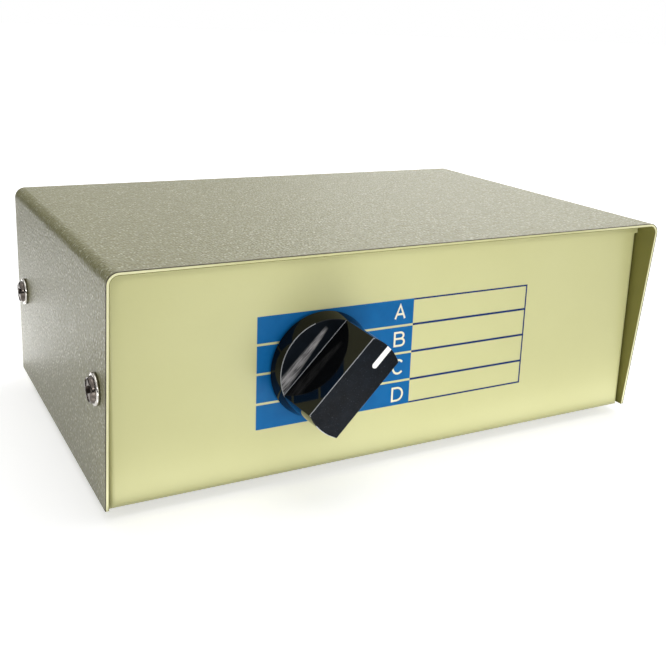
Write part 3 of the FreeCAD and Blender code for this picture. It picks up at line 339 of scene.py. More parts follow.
def knob_gloss():
    finish = Finish("knob_gloss", Specular_IOR_Level=0.20)
    finish.colour(finish.mix(finish.noise(scale=150.0, detail=3.0), linear(6, 7, 9), linear(10, 11, 13)))
    finish.rough(finish.remap(finish.noise(scale=240.0, detail=3.0), *NOISE_UPPER, 0.04, 0.09))
    finish.bump(finish.noise(scale=260.0, detail=1.0), distance=0.00002, strength=0.3)
    return finish.material


def slate_nodes(finish):
    """The blotchy blue-black of the knob's grained faces."""
    blotches = finish.remap(finish.noise(scale=160.0, detail=4.0, roughness=0.7), *NOISE_MIDDLE)
    return finish.mix(blotches, KNOB_SLATE, KNOB_SLATE_LIGHT)


def grain_bump(finish):
    finish.bump(finish.noise(scale=2600.0, detail=1.0), distance=0.00003, strength=0.7)


def knob_grain():
    """The finely grained faces that look towards the user."""
    finish = Finish("knob_grain", Specular_IOR_Level=0.05)
    sparkles = finish.remap(finish.noise(scale=3000.0, detail=1.0), *SPARKLES)
    sparkles = finish.times(sparkles, SPARKLE_STRENGTH)
    finish.colour(finish.mix(sparkles, slate_nodes(finish), SPARKLE_GREY))
    finish.rough(finish.uneven(scale=900.0, detail=2.0, low=0.34, high=0.5))
    grain_bump(finish)
    return finish.material


def knob_ledge():
    """Grained like the top, with a grey streak beside the grip bar that is a painted highlight."""
    finish = Finish("knob_ledge", Specular_IOR_Level=0.06)
    x, y, _ = finish.coordinates()
    along = finish.remap(x, *metres(STREAK_ENDS))
    centre = finish.mix_values(along, *metres(STREAK_MIDDLE))
    spread = finish.mix_values(along, *metres(STREAK_HALF_WIDTH))
    offset = finish.math("ABSOLUTE", finish.math("SUBTRACT", y, centre))
    inside = finish.remap(finish.math("DIVIDE", offset, spread), *STREAK_BORDER, 1.0, 0.0)
    end = finish.remap(x, *metres(STREAK_FADE), 1.0, 0.0)
    stretch = finish.add("ShaderNodeMapping")
    stretch.inputs["Scale"].default_value = FIBRE_SQUEEZE
    finish.join(finish.place, stretch.inputs["Vector"])
    fibres = finish.noise(scale=1800.0, detail=3.0, roughness=0.6, where=stretch.outputs["Vector"])
    fibres = finish.remap(fibres, *FIBRES, FIBRES_FAINTEST, 1.0)
    # the streak is a painted highlight
    painted_streak = finish.times(finish.times(inside, end), fibres)
    finish.colour(finish.mix(painted_streak, slate_nodes(finish), STREAK_HIGHLIGHT_GREY))
    finish.rough(finish.mix_values(painted_streak, SLATE_ROUGH, STREAK_ROUGH))
    grain_bump(finish)
    return finish.material


def plastic(name, light, dark, rough, scale=400.0, bump=0.00002, **settings):
    finish = Finish(name, **settings)
    finish.colour(finish.mix(finish.noise(scale, detail=3.0), light, dark))
    finish.rough(finish.uneven(scale * 1.7, detail=2.0, low=rough * 0.85, high=rough * 1.15))
    finish.bump(finish.noise(scale * 3.0, detail=1.0), bump, strength=0.5)
    return finish.material


def metal(name, light, dark, rough, scale=300.0, bump=0.00001):
    finish = Finish(name, Metallic=1.0)
    finish.colour(finish.mix(finish.noise(scale, detail=4.0, roughness=0.6), light, dark))
    finish.rough(finish.uneven(scale * 2.0, detail=3.0, low=rough * 0.7, high=rough * 1.3))
    finish.bump(finish.noise(scale * 6.0, detail=2.0), bump, strength=0.4)
    return finish.material


def laminate():
    """Brown paper laminate with its faint woven grain."""
    finish = Finish("phenolic_laminate")
    grain = finish.add("ShaderNodeTexWave", wave_type="BANDS", bands_direction="X")
    grain.inputs["Scale"].default_value = 500.0
    grain.inputs["Distortion"].default_value = 2.0
    finish.join(finish.place, grain.inputs["Vector"])
    brown = finish.mix(finish.noise(scale=300.0, detail=4.0), linear(112, 66, 34), linear(140, 88, 48))
    finish.colour(finish.mix(finish.times(grain.outputs["Fac"], 0.3), brown, linear(94, 54, 28)))
    finish.rough(finish.uneven(scale=500.0, detail=2.0, low=0.35, high=0.5))
    finish.bump(grain.outputs["Fac"], distance=0.00001, strength=0.4)
    return finish.material


def ink(name, colour, deeper):
    finish = Finish(name, Specular_IOR_Level=0.1)
    clouds = finish.remap(finish.noise(scale=180.0, detail=3.0), *NOISE_UPPER)
    finish.colour(finish.mix(clouds, colour, deeper))
    finish.rough(finish.uneven(scale=500.0, detail=2.0, low=0.28, high=0.42))
    finish.bump(finish.noise(scale=700.0, detail=1.0), distance=0.00004, strength=0.5)
    return finish.material


BLUE_INK = ink("blue_ink", linear(16, 102, 164), linear(12, 94, 154))
NAVY_INK = ink("navy_ink", linear(26, 52, 108), linear(20, 44, 96))
LETTER_INK = ink("letter_ink", linear(238, 236, 208), linear(229, 227, 197))
CREAM_PAINT = cream_paint()
COVER_PAINT = cover_paint()
KNOB_FINISHES = [
    knob_gloss(),
    knob_grain(),
    # the ledge's finish carries a painted highlight streak
    knob_ledge(),
    # light-grey edge finishes: painted highlights on the knob's edges
    plastic("knob_edge", linear(150, 152, 156), linear(120, 122, 126), rough=0.3, scale=500.0),
    plastic("knob_end_highlight", linear(216, 218, 222), linear(186, 188, 193), rough=0.3, scale=700.0),
]
GLOSS, GRAIN, STREAKED_LEDGE, EDGE_HIGHLIGHT, END_HIGHLIGHT = range(len(KNOB_FINISHES))
POINTER_WHITE = plastic("pointer_white", linear(244, 244, 240), linear(232, 232, 226), rough=0.35)
NICKEL = metal("nickel_plate", linear(214, 211, 204), linear(188, 184, 176), rough=0.16)
HEAD_BUMP = 0.00003
# the head's dome is darkened as a painted dark reflection, and its recess as painted shade
HEAD_FINISHES = [
    metal("polished_nickel", linear(222, 219, 212), linear(180, 174, 166), 0.12, 500.0, HEAD_BUMP),
    metal("head_dark_reflection", linear(136, 127, 119), linear(48, 42, 38), 0.18, 700.0, HEAD_BUMP),
    metal("recess_shade", linear(74, 66, 60), linear(26, 22, 20), 0.34, 1200.0, HEAD_BUMP),
]
HEAD_SHINE, HEAD_DARK_REFLECTION, HEAD_RECESS_SHADE = range(len(HEAD_FINISHES))
ZINC = metal("zinc_plate", linear(188, 190, 190), linear(160, 163, 165), rough=0.34)
STEEL = metal("turned_steel", linear(150, 150, 150), linear(128, 128, 130), rough=0.3)
SPRING_STEEL = metal("spring_steel", linear(96, 96, 100), linear(74, 74, 80), rough=0.32)
BRASS = metal("bare_brass", linear(200, 164, 90), linear(176, 138, 70), rough=0.28)
SILVER = metal("silver_plate", linear(216, 212, 198), linear(190, 184, 166), rough=0.24)
TINNED = metal("tinned_copper", linear(190, 188, 184), linear(166, 162, 156), rough=0.3)
PHENOLIC = laminate()
ACETAL = plastic("acetal", linear(226, 223, 210), linear(216, 212, 198), 0.4, Subsurface_Weight=0.1)
PTFE = plastic("ptfe", linear(238, 238, 234), linear(228, 228, 224), 0.45, Subsurface_Weight=0.1)
LEAD_JACKET = plastic("lead_jacket", linear(28, 28, 29), linear(20, 20, 21), rough=0.42, scale=900.0)
FOOT_RUBBER = plastic("foot_rubber", linear(34, 33, 32), linear(26, 25, 25), 0.7, 1200.0, 0.00005)

NODE_FINISHES = {
    "chassis": CREAM_PAINT,
    "top_cover": COVER_PAINT,
    "rubber_feet": FOOT_RUBBER,
    "cover_screws": NICKEL,
    "knob": KNOB_FINISHES[GLOSS],
    "pointer_line": POINTER_WHITE,
    "knob_set_screw": ZINC,
    "switch_shaft": STEEL,
    "front_retaining_ring": SPRING_STEEL,
    "rear_retaining_ring": SPRING_STEEL,
    "detent_wheel": ZINC,
    "shaft_spacer": BRASS,
    "rotor_hub": ACETAL,
    "rotor_contact": SILVER,
    "rotor_rivets": BRASS,
    "switch_bushing": BRASS,
    "index_plate": ZINC,
    "detent_spring": SPRING_STEEL,
    "detent_spring_rivets": ZINC,
    "panel_lock_washer": ZINC,
    "panel_washer": NICKEL,
    "panel_nut": NICKEL,
    "wafer": PHENOLIC,
    "common_clip": SILVER,
    "clip_rivets": BRASS,
    "tie_spacers": ZINC,
    "tie_lock_washers": ZINC,
    "tie_screws": ZINC,
    "jack_ground_tags": TINNED,
    "jack_lock_washers": ZINC,
    "jack_nuts": NICKEL,
    "shield_pigtails": TINNED,
}
for line in ("a", "b", "c", "d"):
    NODE_FINISHES[f"throw_clip_{line}"] = SILVER
for line in ("common", "a", "b", "c", "d"):
    NODE_FINISHES[f"jack_body_{line}"] = NICKEL
    NODE_FINISHES[f"jack_insulator_{line}"] = PTFE
    NODE_FINISHES[f"jack_contact_{line}"] = SILVER
    NODE_FINISHES[f"lead_{line}"] = LEAD_JACKET

for name, finish in NODE_FINISHES.items():
    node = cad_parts[name]
    node.data.materials.clear()
    node.data.materials.append(finish)


# Shapes


def add_object(name, mesh, finishes, body, place=None):
    item = bpy.data.objects.new(name, mesh)
    for finish in finishes:
        mesh.materials.append(finish)
    bpy.context.scene.collection.objects.link(item)
    if place:
        item.matrix_world = place
    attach(item, body)
    return item


def even_out(item):
    """Lets the large faces rule the shading where they meet narrow roundings."""
    weights = item.modifiers.new("shading", "WEIGHTED_NORMAL")
    weights.mode = "FACE_AREA"
    weights.weight = 90


def add_ring(shape, outline, height):
    """The points of an outline in millimetres, at one height."""
    return [shape.verts.new((x * MM, y * MM, height * MM)) for x, y in outline]


def join_rings(shape, low, high):
    """Faces all round between two rings, the second above the first."""
    faces = []
    for k in range(len(low)):
        after = (k + 1) % len(low)
        faces.append(shape.faces.new((low[k], low[after], high[after], high[k])))
    return faces


def lathe(outline, count):
    """A closed shape turned round z from its (radius, z) points in millimetres, axis to axis."""
    shape = bmesh.new()
    turns = [2 * math.pi * k / count for k in range(count)]
    rings = []
    for radius, height in outline:
        if radius == 0:
            rings.append([shape.verts.new((0, 0, height * MM))])
        else:
            spots = [(radius * MM * math.cos(t), radius * MM * math.sin(t), height * MM) for t in turns]
            rings.append([shape.verts.new(spot) for spot in spots])
    for low, high in zip(rings, rings[1:]):
        if len(low) == 1:
            for k in range(count):
                shape.faces.new((low[0], high[(k + 1) % count], high[k]))
        elif len(high) == 1:
            for k in range(count):
                shape.faces.new((low[k], low[(k + 1) % count], high[0]))
        else:
            join_rings(shape, low, high)
    bmesh.ops.recalc_face_normals(shape, faces=shape.faces)
    return shape


def to_mesh(name, shape):
    mesh = bpy.data.meshes.new(name)
    shape.to_mesh(mesh)
    shape.free()
    return mesh


# Knob: skirt, grip bar and white line, in millimetres on the shaft's axis with z towards the user

BAR_HALF, BAR_HALF_TOP = 5.2, 5.08
BAR_END, BAR_END_TOP = 12.95, 12.65
BAR_TOP = 17.99
EDGE = 0.15
EDGE_BANDS = 3
END_STEPS = 24
LEDGE, LEDGE_RADIUS = 4.5, 12.8
SKIRT_PROFILE = (
    (0, 15.3), (3.02, 15.3), (3.02, 3.4), (8.5, 3.4), (8.5, 0.8), (13.85, 0.8), (14.0, 0.95),
    (12.97, 4.34), (12.93, 4.44), (LEDGE_RADIUS, LEDGE), (5.0, LEDGE), (0, LEDGE),
)
SKIRT_SEGMENTS = 180
# how near a face's middle lies to the ledge's height when it is part of the ledge
FLAT = 0.01
HOLE_RADIUS, HOLE_HEIGHT, HOLE_FLOOR = 1.52, 10.5, 2.4
DRILL_OVERHANG = 1.0
LINE_HALF, LINE_START, LINE_END, LINE_ASIDE = 0.725, 6.4, 12.55, -0.25
LINE_TOP, LINE_DEPTH = BAR_TOP + 0.01, 0.3

# Where light-grey painted highlights lie on the edges: the bar's flank and its end, as shares of its half
# width, and the skirt's rim, from its height and radius on and between two angles
HIGHLIGHT_FLANK_FROM = 0.9
HIGHLIGHT_END_FROM, HIGHLIGHT_END_TO = -0.85, 0.35
HIGHLIGHT_RIM_HEIGHT, HIGHLIGHT_RIM_RADIUS = 4.36, 12.6
HIGHLIGHT_RIM_START, HIGHLIGHT_RIM_STOP = 62, 158


def switch_matrix(turn):
    """The frame on the shaft's axis at the panel, z towards the user, turned round z."""
    facing = Matrix.Translation(KNOB_AXIS) @ Matrix.Rotation(math.pi / 2, 4, "X")
    return facing @ Matrix.Rotation(math.radians(turn), 4, "Z")


def bar_outline(half_width, radius):
    """Two arcs about the axis with straight sides between them, anticlockwise."""
    spread = math.asin(half_width / radius)
    points = []
    for start in (-spread, math.pi - spread):
        for k in range(END_STEPS + 1):
            angle = start + 2 * spread * k / END_STEPS
            points.append((radius * math.cos(angle), radius * math.sin(angle)))
    return points


def bar_levels():
    """(height, half width, end radius) up the grip bar, with a foot fillet and a rounded top edge."""
    foot = []
    crown = []
    for k in range(EDGE_BANDS + 1):
        turn = math.pi / 2 * k / EDGE_BANDS
        inset = EDGE * (1 - math.cos(turn))
        foot.append((LEDGE + inset, BAR_HALF + EDGE * (1 - math.sin(turn)), BAR_END))
        crown.append((BAR_TOP - EDGE + EDGE * math.sin(turn), BAR_HALF_TOP - inset, BAR_END_TOP - inset))
    return foot + crown


def bar_finish(band, x, y):
    """The finish of a band of the bar's sides at a point: the flank between its two roundings is gloss,
    and the roundings of one flank and the top rounding of one end carry painted highlights.
    """
    if band > EDGE_BANDS and x < 0 and HIGHLIGHT_END_FROM * BAR_HALF < y < HIGHLIGHT_END_TO * BAR_HALF:
        return END_HIGHLIGHT
    if band != EDGE_BANDS and y > HIGHLIGHT_FLANK_FROM * BAR_HALF:
        return EDGE_HIGHLIGHT
    return GLOSS


def make_bar():
    shape = bmesh.new()
    rings = []
    for height, half_width, radius in bar_levels():
        rings.append(add_ring(shape, bar_outline(half_width, radius), height))
    for band, (low, high) in enumerate(zip(rings, rings[1:])):
        for k, face in enumerate(join_rings(shape, low, high)):
            foot = (low[k].co + low[(k + 1) % len(low)].co) / 2 / MM
            face.material_index = bar_finish(band, foot.x, foot.y)
            face.smooth = True
    top = shape.faces.new(rings[-1])
    top.material_index = GRAIN
    shape.faces.new(reversed(rings[0]))
    return to_mesh("knob_bar", shape)


def drilled(mesh):
    """The bar's mesh with the set screw's hole taken out of its lower flank."""
    shape = bmesh.new()
    length = BAR_HALF - HOLE_FLOOR + DRILL_OVERHANG
    radius = HOLE_RADIUS * MM
    bmesh.ops.create_cone(
        shape, cap_ends=True, segments=48, radius1=radius, radius2=radius, depth=length * MM
    )
    centre = Vector((0, -(HOLE_FLOOR + length / 2), HOLE_HEIGHT)) * MM
    shape.transform(Matrix.Translation(centre) @ Matrix.Rotation(math.pi / 2, 4, "X"))
    cutter = bpy.data.objects.new("cutter", to_mesh("cutter", shape))
    whole = bpy.data.objects.new("whole", mesh)
    for item in (cutter, whole):
        bpy.context.scene.collection.objects.link(item)
    hole = whole.modifiers.new("hole", "BOOLEAN")
    hole.object = cutter
    bpy.context.view_layer.update()
    cut = whole.evaluated_get(bpy.context.evaluated_depsgraph_get())
    result = bpy.data.meshes.new_from_object(cut)
    for item in (cutter, whole):
        bpy.data.meshes.remove(item.data)
    result.name = "knob_bar"
    return result


def make_skirt():
    shape = lathe(SKIRT_PROFILE, SKIRT_SEGMENTS)
    for face in shape.faces:
        centre = face.calc_center_median()
        height = centre.z / MM
        radius = centre.xy.length / MM
        turn = math.degrees(math.atan2(centre.y, centre.x))
        face.smooth = radius > LEDGE_RADIUS
        if abs(height - LEDGE) < FLAT and radius < LEDGE_RADIUS:
            # the ledge carries the painted highlight streak
            face.material_index = STREAKED_LEDGE
        # the rim's upper arc is painted as a highlight
        elif height > HIGHLIGHT_RIM_HEIGHT and radius > HIGHLIGHT_RIM_RADIUS and HIGHLIGHT_RIM_START < turn < HIGHLIGHT_RIM_STOP:
            face.material_index = EDGE_HIGHLIGHT
    return to_mesh("knob_skirt", shape)


def make_pointer_line():
    """The white line, round at its inner end and square at the bar's end."""
    steps = 12
    outline = []
    for k in range(steps + 1):
        turn = math.pi / 2 + math.pi * k / steps
        x = LINE_START + LINE_HALF + LINE_HALF * math.cos(turn)
        outline.append((x, LINE_ASIDE + LINE_HALF * math.sin(turn)))
    outline += [(LINE_END, LINE_ASIDE - LINE_HALF), (LINE_END, LINE_ASIDE + LINE_HALF)]
    shape = bmesh.new()
    low = add_ring(shape, outline, LINE_TOP - LINE_DEPTH)
    high = add_ring(shape, outline, LINE_TOP)
    join_rings(shape, low, high)
    shape.faces.new(high)
    shape.faces.new(reversed(low))
    return to_mesh("pointer_mark", shape)


def make_knob():
    place = switch_matrix(POINTER_ANGLE)
    skirt = add_object("knob_skirt", make_skirt(), KNOB_FINISHES, "rotor", place)
    bar = add_object("knob_bar", drilled(make_bar()), KNOB_FINISHES, "rotor", place)
    for piece in (skirt, bar):
        even_out(piece)
        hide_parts("knob")
    mark = add_object("pointer_mark", make_pointer_line(), [POINTER_WHITE], "rotor", place)
    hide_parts("pointer_line")


make_knob()


# Cover screws: thin flange, raised round head and cross recess, in millimetres

HEAD_RADIUS, HEAD_HEIGHT = 3.9, 2.2
HEAD_PROFILE = (
    (0.0, 2.2), (1.6, 2.17), (2.5, 2.05), (2.85, 1.88), (3.05, 1.6), (3.12, 1.2), (3.18, 0.98),
    (3.3, 0.92), (3.6, 0.88), (3.78, 0.82), (3.88, 0.66), (3.9, 0.5), (3.9, 0.0),
)
HEAD_SEGMENTS = 96
# the middle of the head, finely divided for the recess
FIELD_RADIUS, FIELD_RINGS = 2.6, 22
CROSS_REACH, CROSS_HALF, CROSS_DEPTH = 2.7, 0.72, 1.5
# how much room the recess's sides, the ends of its arms and its round hub take to reach the bottom
CROSS_WALL, CROSS_RAMP = 0.24, 0.9
HUB_RADIUS, HUB_WALL = 1.15, 0.3
# the radius within which the dome is painted darker, a painted dark reflection
DARK_REFLECTION_RADIUS = 3.25
# the depth from which the recess's painted shade begins
RECESS_FROM = 0.1


def head_height(radius):
    """The head's height over the cover at a distance from its axis."""
    for (near, high), (far, low) in zip(HEAD_PROFILE, HEAD_PROFILE[1:]):
        if radius <= far:
            return high + (low - high) * (radius - near) / (far - near)


def clamp(share):
    return min(max(share, 0.0), 1.0)


def recess_depth(x, y):
    """How far the cross recess goes below the head at a point."""
    along = max(abs(x), abs(y))
    aside = min(abs(x), abs(y))
    arm = clamp((CROSS_HALF + CROSS_WALL / 2 - aside) / CROSS_WALL)
    slope = clamp((CROSS_REACH - along) / CROSS_RAMP)
    hub = clamp((HUB_RADIUS - math.hypot(x, y)) / HUB_WALL)
    return CROSS_DEPTH * max(arm * slope, hub)


def make_screw_head():
    field = [FIELD_RADIUS * k / FIELD_RINGS for k in range(1, FIELD_RINGS + 1)]
    levels = [(radius, head_height(radius)) for radius in field]
    levels += [(radius, height) for radius, height in HEAD_PROFILE if radius > FIELD_RADIUS]
    shape = bmesh.new()
    centre = shape.verts.new((0, 0, (HEAD_HEIGHT - CROSS_DEPTH) * MM))
    rings = []
    for radius, height in levels:
        ring = []
        for k in range(HEAD_SEGMENTS):
            turn = 2 * math.pi * k / HEAD_SEGMENTS
            x, y = radius * math.cos(turn), radius * math.sin(turn)
            ring.append(shape.verts.new((x * MM, y * MM, (height - recess_depth(x, y)) * MM)))
        rings.append(ring)
    for k in range(HEAD_SEGMENTS):
        after = (k + 1) % HEAD_SEGMENTS
        shape.faces.new((centre, rings[0][k], rings[0][after]))
        for inner, outer in zip(rings, rings[1:]):
            shape.faces.new((inner[k], outer[k], outer[after], inner[after]))
    shape.faces.new(reversed(rings[-1]))
    for face in shape.faces:
        spot = face.calc_center_median() / MM
        face.material_index = HEAD_SHINE
        # painted shade in the recess, and a painted dark reflection on the dome
        if recess_depth(spot.x, spot.y) > RECESS_FROM:
            face.material_index = HEAD_RECESS_SHADE
        elif math.hypot(spot.x, spot.y) < DARK_REFLECTION_RADIUS:
            face.material_index = HEAD_DARK_REFLECTION
        face.smooth = True
    return to_mesh("screw_head", shape)


def make_cover_screws():
    """A head on each of the cover's four screws, turned as its driver left it."""
    low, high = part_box("cover_screws")
    height = (low.z + high.z) / 2
    for row, y in (("front", low.y + HEAD_RADIUS * MM), ("rear", high.y - HEAD_RADIUS * MM)):
        for side, sign, turn in (("left", -1, 25.0), ("right", 1, 70.0)):
            x = sign * (high.x - HEAD_HEIGHT * MM)
            place = Matrix.Translation((x, y, height)) @ Matrix.Rotation(sign * math.pi / 2, 4, "Y")
            place = place @ Matrix.Rotation(math.radians(turn), 4, "Z")
            name = f"cover_screw_{row}_{side}"
            head = add_object(name, make_screw_head(), HEAD_FINISHES, "case", place)
            even_out(head)
            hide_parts("cover_screws")


make_cover_screws()


# Printed panel: blue field, frame lines and position letters, in millimetres on the front panel

FIELD_LEFT, FIELD_RIGHT, FRAME_RIGHT = -42.5, 1.65, 39.0
FRAME_LOW, FRAME_HIGH = 13.5, 42.65
ROWS = (35.55, 28.0, 20.25)
ROW_LINE, FRAME_LINE, LETTER_STROKE = 0.6, 0.45, 0.55
# how far each ink stands off the paint, and a later stroke off the one before
FIELD_LIFT, LINE_LIFT, LETTER_LIFT, STROKE_LIFT = 0.02, 0.025, 0.04, 0.004
WELD = 0.0005
MITRE_LIMIT = 0.5


def print_on_panel(name, groups, finish, lift):
    """Flat ink shapes on the front panel, from groups of (x, z) outlines, each a hair above the last."""
    shape = bmesh.new()
    for group, outlines in enumerate(groups):
        depth = PANEL_Y - (lift + STROKE_LIFT * group) * MM
        for outline in outlines:
            shape.faces.new([shape.verts.new((x * MM, depth, PANEL_Z + z * MM)) for x, z in outline])
    bmesh.ops.remove_doubles(shape, verts=shape.verts, dist=WELD * MM)
    shape.normal_update()
    for face in shape.faces:
        if face.normal.y > 0:
            face.normal_flip()
    add_object(name, to_mesh(name, shape), [finish], "case")


def rectangle(left, low, right, high):
    return [(left, low), (right, low), (right, high), (left, high)]


def ribbon(points, width):
    """Four-cornered outlines that follow the points as one band with mitred joints."""
    closed = points[0] == points[-1]
    steps = [(Vector(after) - Vector(before)).normalized() for before, after in zip(points, points[1:])]
    sides = []
    for k in range(len(points)):
        before = steps[k - 1] if k or closed else steps[0]
        after = steps[k] if k < len(steps) else (steps[0] if closed else steps[-1])
        across = (before + after).normalized()
        across = Vector((-across.y, across.x))
        reach = width / 2 / max(across.dot(Vector((-after.y, after.x))), MITRE_LIMIT)
        point = Vector(points[k])
        sides.append((point + across * reach, point - across * reach))
    return [[a0, b0, b1, a1] for (a0, b0), (a1, b1) in zip(sides, sides[1:])]


def arc(centre, radius, start, end, steps=12):
    turns = [math.radians(start + (end - start) * k / steps) for k in range(steps + 1)]
    return [(centre[0] + radius[0] * math.cos(t), centre[1] + radius[1] * math.sin(t)) for t in turns]


# strokes of the letters in a box one unit wide and high
LETTERS = {
    "A": [[(0, 0), (0.5, 1), (1, 0)], [(0.18, 0.33), (0.82, 0.33)]],
    "B": [
        [(0, 0.53), (0, 1)] + arc((0.58, 0.765), (0.34, 0.235), 90, -90) + [(0, 0.53)],
        [(0, 0), (0, 0.53)] + arc((0.62, 0.265), (0.38, 0.265), 90, -90) + [(0, 0)],
    ],
    "C": [arc((0.55, 0.5), (0.55, 0.5), 42, 318, 24)],
    "D": [[(0, 0), (0, 1)] + arc((0.45, 0.5), (0.55, 0.5), 90, -90, 18) + [(0, 0)]],
}
# left, low, right and high of each letter
LETTER_BOXES = {
    "A": (-3.85, 37.55, -0.95, 41.2),
    "B": (-3.7, 30.15, -0.8, 33.75),
    "C": (-3.85, 22.4, -0.95, 26.15),
    "D": (-3.6, 14.8, -0.5, 18.35),
}


def letter_strokes():
    """Each stroke as its band's outlines."""
    bands = []
    for letter, (left, low, right, high) in LETTER_BOXES.items():
        for points in LETTERS[letter]:
            placed = [(left + x * (right - left), low + z * (high - low)) for x, z in points]
            bands.append(ribbon(placed, LETTER_STROKE))
    return bands


def make_print():
    half = ROW_LINE / 2
    edges = [FRAME_HIGH] + [z + side for z in ROWS for side in (half, -half)] + [FRAME_LOW]
    cells = [rectangle(FIELD_LEFT, low, FIELD_RIGHT, high) for high, low in zip(edges[::2], edges[1::2])]
    print_on_panel("blue_field", [cells], BLUE_INK, FIELD_LIFT)
    lines = [rectangle(FIELD_RIGHT, z - half, FRAME_RIGHT, z + half) for z in ROWS]
    lines.append(rectangle(FIELD_RIGHT, FRAME_HIGH - FRAME_LINE, FRAME_RIGHT, FRAME_HIGH))
    lines.append(rectangle(FIELD_RIGHT, FRAME_LOW, FRAME_RIGHT, FRAME_LOW + FRAME_LINE))
    upright = rectangle(FRAME_RIGHT - FRAME_LINE, FRAME_LOW, FRAME_RIGHT, FRAME_HIGH)
    print_on_panel("frame_lines", [lines, [upright]], NAVY_INK, LINE_LIFT)
    print_on_panel("position_letters", letter_strokes(), LETTER_INK, LETTER_LIFT)


make_print()


# Softened edges of the sheets that keep their CAD shape, in millimetres

SHEET_EDGES = {"top_cover": 0.12, "chassis": 0.10}
SHARP_ANGLE = 30.0


def soften(item, width):
    """Rounds an object's sharp edges and smooths what lies between them."""
    bevel = item.modifiers.new("edges", "BEVEL")
    bevel.width = width
    bevel.segments = 2
    bevel.limit_method = "ANGLE"
    bevel.angle_limit = math.radians(SHARP_ANGLE)
    bevel.harden_normals = True
    for polygon in item.data.polygons:
        polygon.use_smooth = True


for name, width in SHEET_EDGES.items():
    soften(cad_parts[name], width * MM)


# Floor, light and camera, in metres

# the floor's own glow where it is seen directly, near the object and far from it
FLOOR_GLOW, FAR_GLOW = 0.55, 1.0
GLOW_NEAR, GLOW_FAR = 0.25, 0.8
FLOOR_HALF = 8.0
FLOOR_GAP = 0.02 * MM
DOME_LIGHT, DOME_SEEN = 0.45, 1.0
FLAG_SPAN, FLAG_RADIUS, FLAG_HEIGHTS = (-165.0, 0.0), 0.6, (0.0, 0.25)
FLAG_STEPS = 24
WHITE = (1.0, 1.0, 1.0, 1.0)


def seen_directly(tree):
    """1 for camera, glossy and transmission rays, 0 for the rays that light the object."""
    path = tree.nodes.new("ShaderNodeLightPath")
    total = path.outputs["Is Camera Ray"]
    for name in ("Is Glossy Ray", "Is Transmission Ray"):
        larger = tree.nodes.new("ShaderNodeMath")
        larger.operation = "MAXIMUM"
        tree.links.new(total, larger.inputs[0])
        tree.links.new(path.outputs[name], larger.inputs[1])
        total = larger.outputs[0]
    return total


def add_stage(name, shape, finish):
    """The floor or the flag, which aren't part of the object."""
    item = bpy.data.objects.new(name, to_mesh(name, shape))
    item.data.materials.append(finish.material)
    bpy.context.scene.collection.objects.link(item)
    return item


def make_floor():
    finish = Finish("floor_white", Specular_IOR_Level=0.1)
    clouds = finish.noise(scale=3.0, detail=2.0)
    finish.colour(finish.mix(clouds, linear(230, 230, 230), linear(226, 226, 226)))
    finish.rough(finish.uneven(scale=20.0, detail=2.0, low=0.85, high=0.95))
    distance = finish.add("ShaderNodeVectorMath", operation="LENGTH")
    finish.join(finish.place, distance.inputs[0])
    glow = finish.remap(distance.outputs["Value"], GLOW_NEAR, GLOW_FAR, FLOOR_GLOW, FAR_GLOW)
    glow = finish.times(glow, seen_directly(finish.tree))
    finish.shader.inputs["Emission Color"].default_value = WHITE
    finish.join(glow, finish.shader.inputs["Emission Strength"])
    shape = bmesh.new()
    bmesh.ops.create_grid(shape, x_segments=2, y_segments=2, size=FLOOR_HALF)
    floor = add_stage("floor", shape, finish)
    floor.location.z = -FLOOR_GAP


def make_world():
    world = bpy.data.worlds.new("studio")
    bpy.context.scene.world = world
    world.use_nodes = True
    tree = world.node_tree
    tree.nodes.clear()
    mixed = tree.nodes.new("ShaderNodeMixShader")
    tree.links.new(seen_directly(tree), mixed.inputs[0])
    for slot, strength in ((1, DOME_LIGHT), (2, DOME_SEEN)):
        white = tree.nodes.new("ShaderNodeBackground")
        white.inputs["Color"].default_value = WHITE
        white.inputs["Strength"].default_value = strength
        tree.links.new(white.outputs[0], mixed.inputs[slot])
    output = tree.nodes.new("ShaderNodeOutputWorld")
    tree.links.new(mixed.outputs[0], output.inputs[0])


def make_flag():
    """A dark curved screen on the left and behind, which shades the object but isn't seen itself."""
    finish = Finish("flag_cloth", Specular_IOR_Level=0.1)
    weave = finish.noise(scale=30.0, detail=2.0)
    finish.colour(finish.mix(weave, linear(40, 40, 38), linear(32, 32, 30)))
    finish.rough(finish.uneven(scale=80.0, detail=2.0, low=0.85, high=0.95))
    start, end = FLAG_SPAN
    shape = bmesh.new()
    pairs = []
    for k in range(FLAG_STEPS + 1):
        turn = math.radians(start + (end - start) * k / FLAG_STEPS)
        x, y = FLAG_RADIUS * math.sin(turn), FLAG_RADIUS * math.cos(turn)
        pairs.append([shape.verts.new((x, y, z)) for z in FLAG_HEIGHTS])
    for before, after in zip(pairs, pairs[1:]):
        shape.faces.new((before[0], after[0], after[1], before[1]))
    flag = add_stage("flag", shape, finish)
    flag.visible_camera = False


# name, place, target, size and power in watts
LAMPS = (
    ("overhead", (0.10, 0.0, 1.0), (0, 0, 0), (0.8, 0.8), 4.2),
    ("window", (0.60, 0.70, 0.45), (0, 0, 0.05), (0.5, 0.3), 1.2),
    ("front_right", (0.55, -1.40, 0.10), (0, 0, 0.03), (1.2, 0.20), 1.5),
    ("front_left", (-0.45, -1.20, 0.45), (0, 0, 0.03), (0.6, 0.4), 7.4),
)
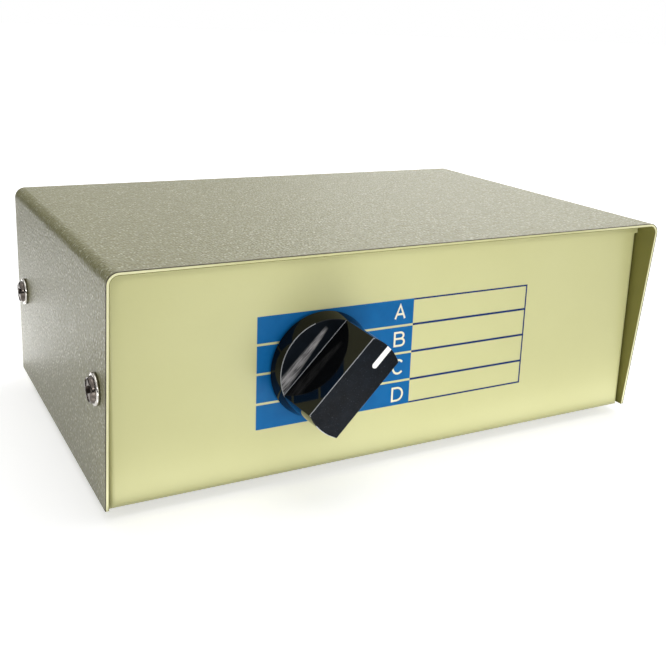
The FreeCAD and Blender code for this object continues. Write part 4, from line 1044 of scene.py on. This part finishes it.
# name, place, size and power in watts of the lamps that lie on the table and shine up
TABLE_LAMPS = (
    ("table_front", (0.0, -0.1935, 0.003), (0.46, 0.295), 0.062),
    ("table_spot", (-0.006, -0.105, 0.0034), (0.03, 0.03), 0.026),
    ("table_front_left", (-0.10, -0.14, 0.0033), (0.07, 0.07), 0.035),
    ("table_near", (0.0, -0.0525, 0.0032), (0.42, 0.0115), 0.0185),
    ("table_rear", (0.035, 0.17, 0.003), (0.23, 0.22), 0.115),
    ("table_left", (-0.089, 0.11, 0.003), (0.014, 0.10), 0.009),
    ("table_rear_left", (-0.105, 0.165, 0.003), (0.035, 0.15), 0.018),
)


def add_lamp(name, place, target, size, power):
    lamp = bpy.data.lights.new(name, "AREA")
    lamp.shape = "RECTANGLE"
    lamp.size, lamp.size_y = size
    lamp.energy = power
    item = bpy.data.objects.new(name, lamp)
    item.location = place
    item.rotation_euler = (Vector(target) - Vector(place)).to_track_quat("-Z", "Y").to_euler()
    item.visible_camera = False
    bpy.context.scene.collection.objects.link(item)


def make_lamps():
    for name, place, target, size, power in LAMPS:
        add_lamp(name, place, target, size, power)
    for name, place, size, power in TABLE_LAMPS:
        x, y, _ = place
        add_lamp(name, place, (x, y, 1.0), size, power)


# The camera: its square frame, focal length and optical middle in pixels, its place in millimetres
# from the front panel's lower edge, and where it looks in radians
FRAME_SIZE = 666.0
FOCAL = 941.88
MIDDLE_X, MIDDLE_Y = 350.0, 262.0
CAMERA_X, CAMERA_Y, CAMERA_Z = -127.893, -196.995, 111.221
AZIMUTH, ELEVATION, ROLL = -0.509269, 0.248146, 0.0401411
SENSOR = 36.0
CLIP_START, CLIP_END = 0.01, 50.0


def make_camera():
    place = Vector((CAMERA_X, CAMERA_Y + PANEL_Y / MM, CAMERA_Z + PANEL_Z / MM)) * MM
    level = math.cos(ELEVATION)
    forward = Vector((-math.sin(AZIMUTH) * level, math.cos(AZIMUTH) * level, -math.sin(ELEVATION)))
    right = forward.cross(Vector((0, 0, 1))).normalized()
    up = right.cross(forward)
    turned_right = right * math.cos(ROLL) + up * math.sin(ROLL)
    turned_up = up * math.cos(ROLL) - right * math.sin(ROLL)
    lens = bpy.data.cameras.new("camera")
    lens.sensor_width = SENSOR
    lens.lens = FOCAL / FRAME_SIZE * SENSOR
    lens.shift_x = (FRAME_SIZE / 2 - MIDDLE_X) / FRAME_SIZE
    lens.shift_y = (MIDDLE_Y - FRAME_SIZE / 2) / FRAME_SIZE
    lens.clip_start = CLIP_START
    lens.clip_end = CLIP_END
    camera = bpy.data.objects.new("camera", lens)
    axes = Matrix((turned_right, turned_up, -forward)).transposed()
    camera.matrix_world = Matrix.Translation(place) @ axes.to_4x4()
    bpy.context.scene.collection.objects.link(camera)
    bpy.context.scene.camera = camera


make_floor()
make_world()
make_flag()
make_lamps()
make_camera()
bpy.context.scene.view_settings.view_transform = "Standard"
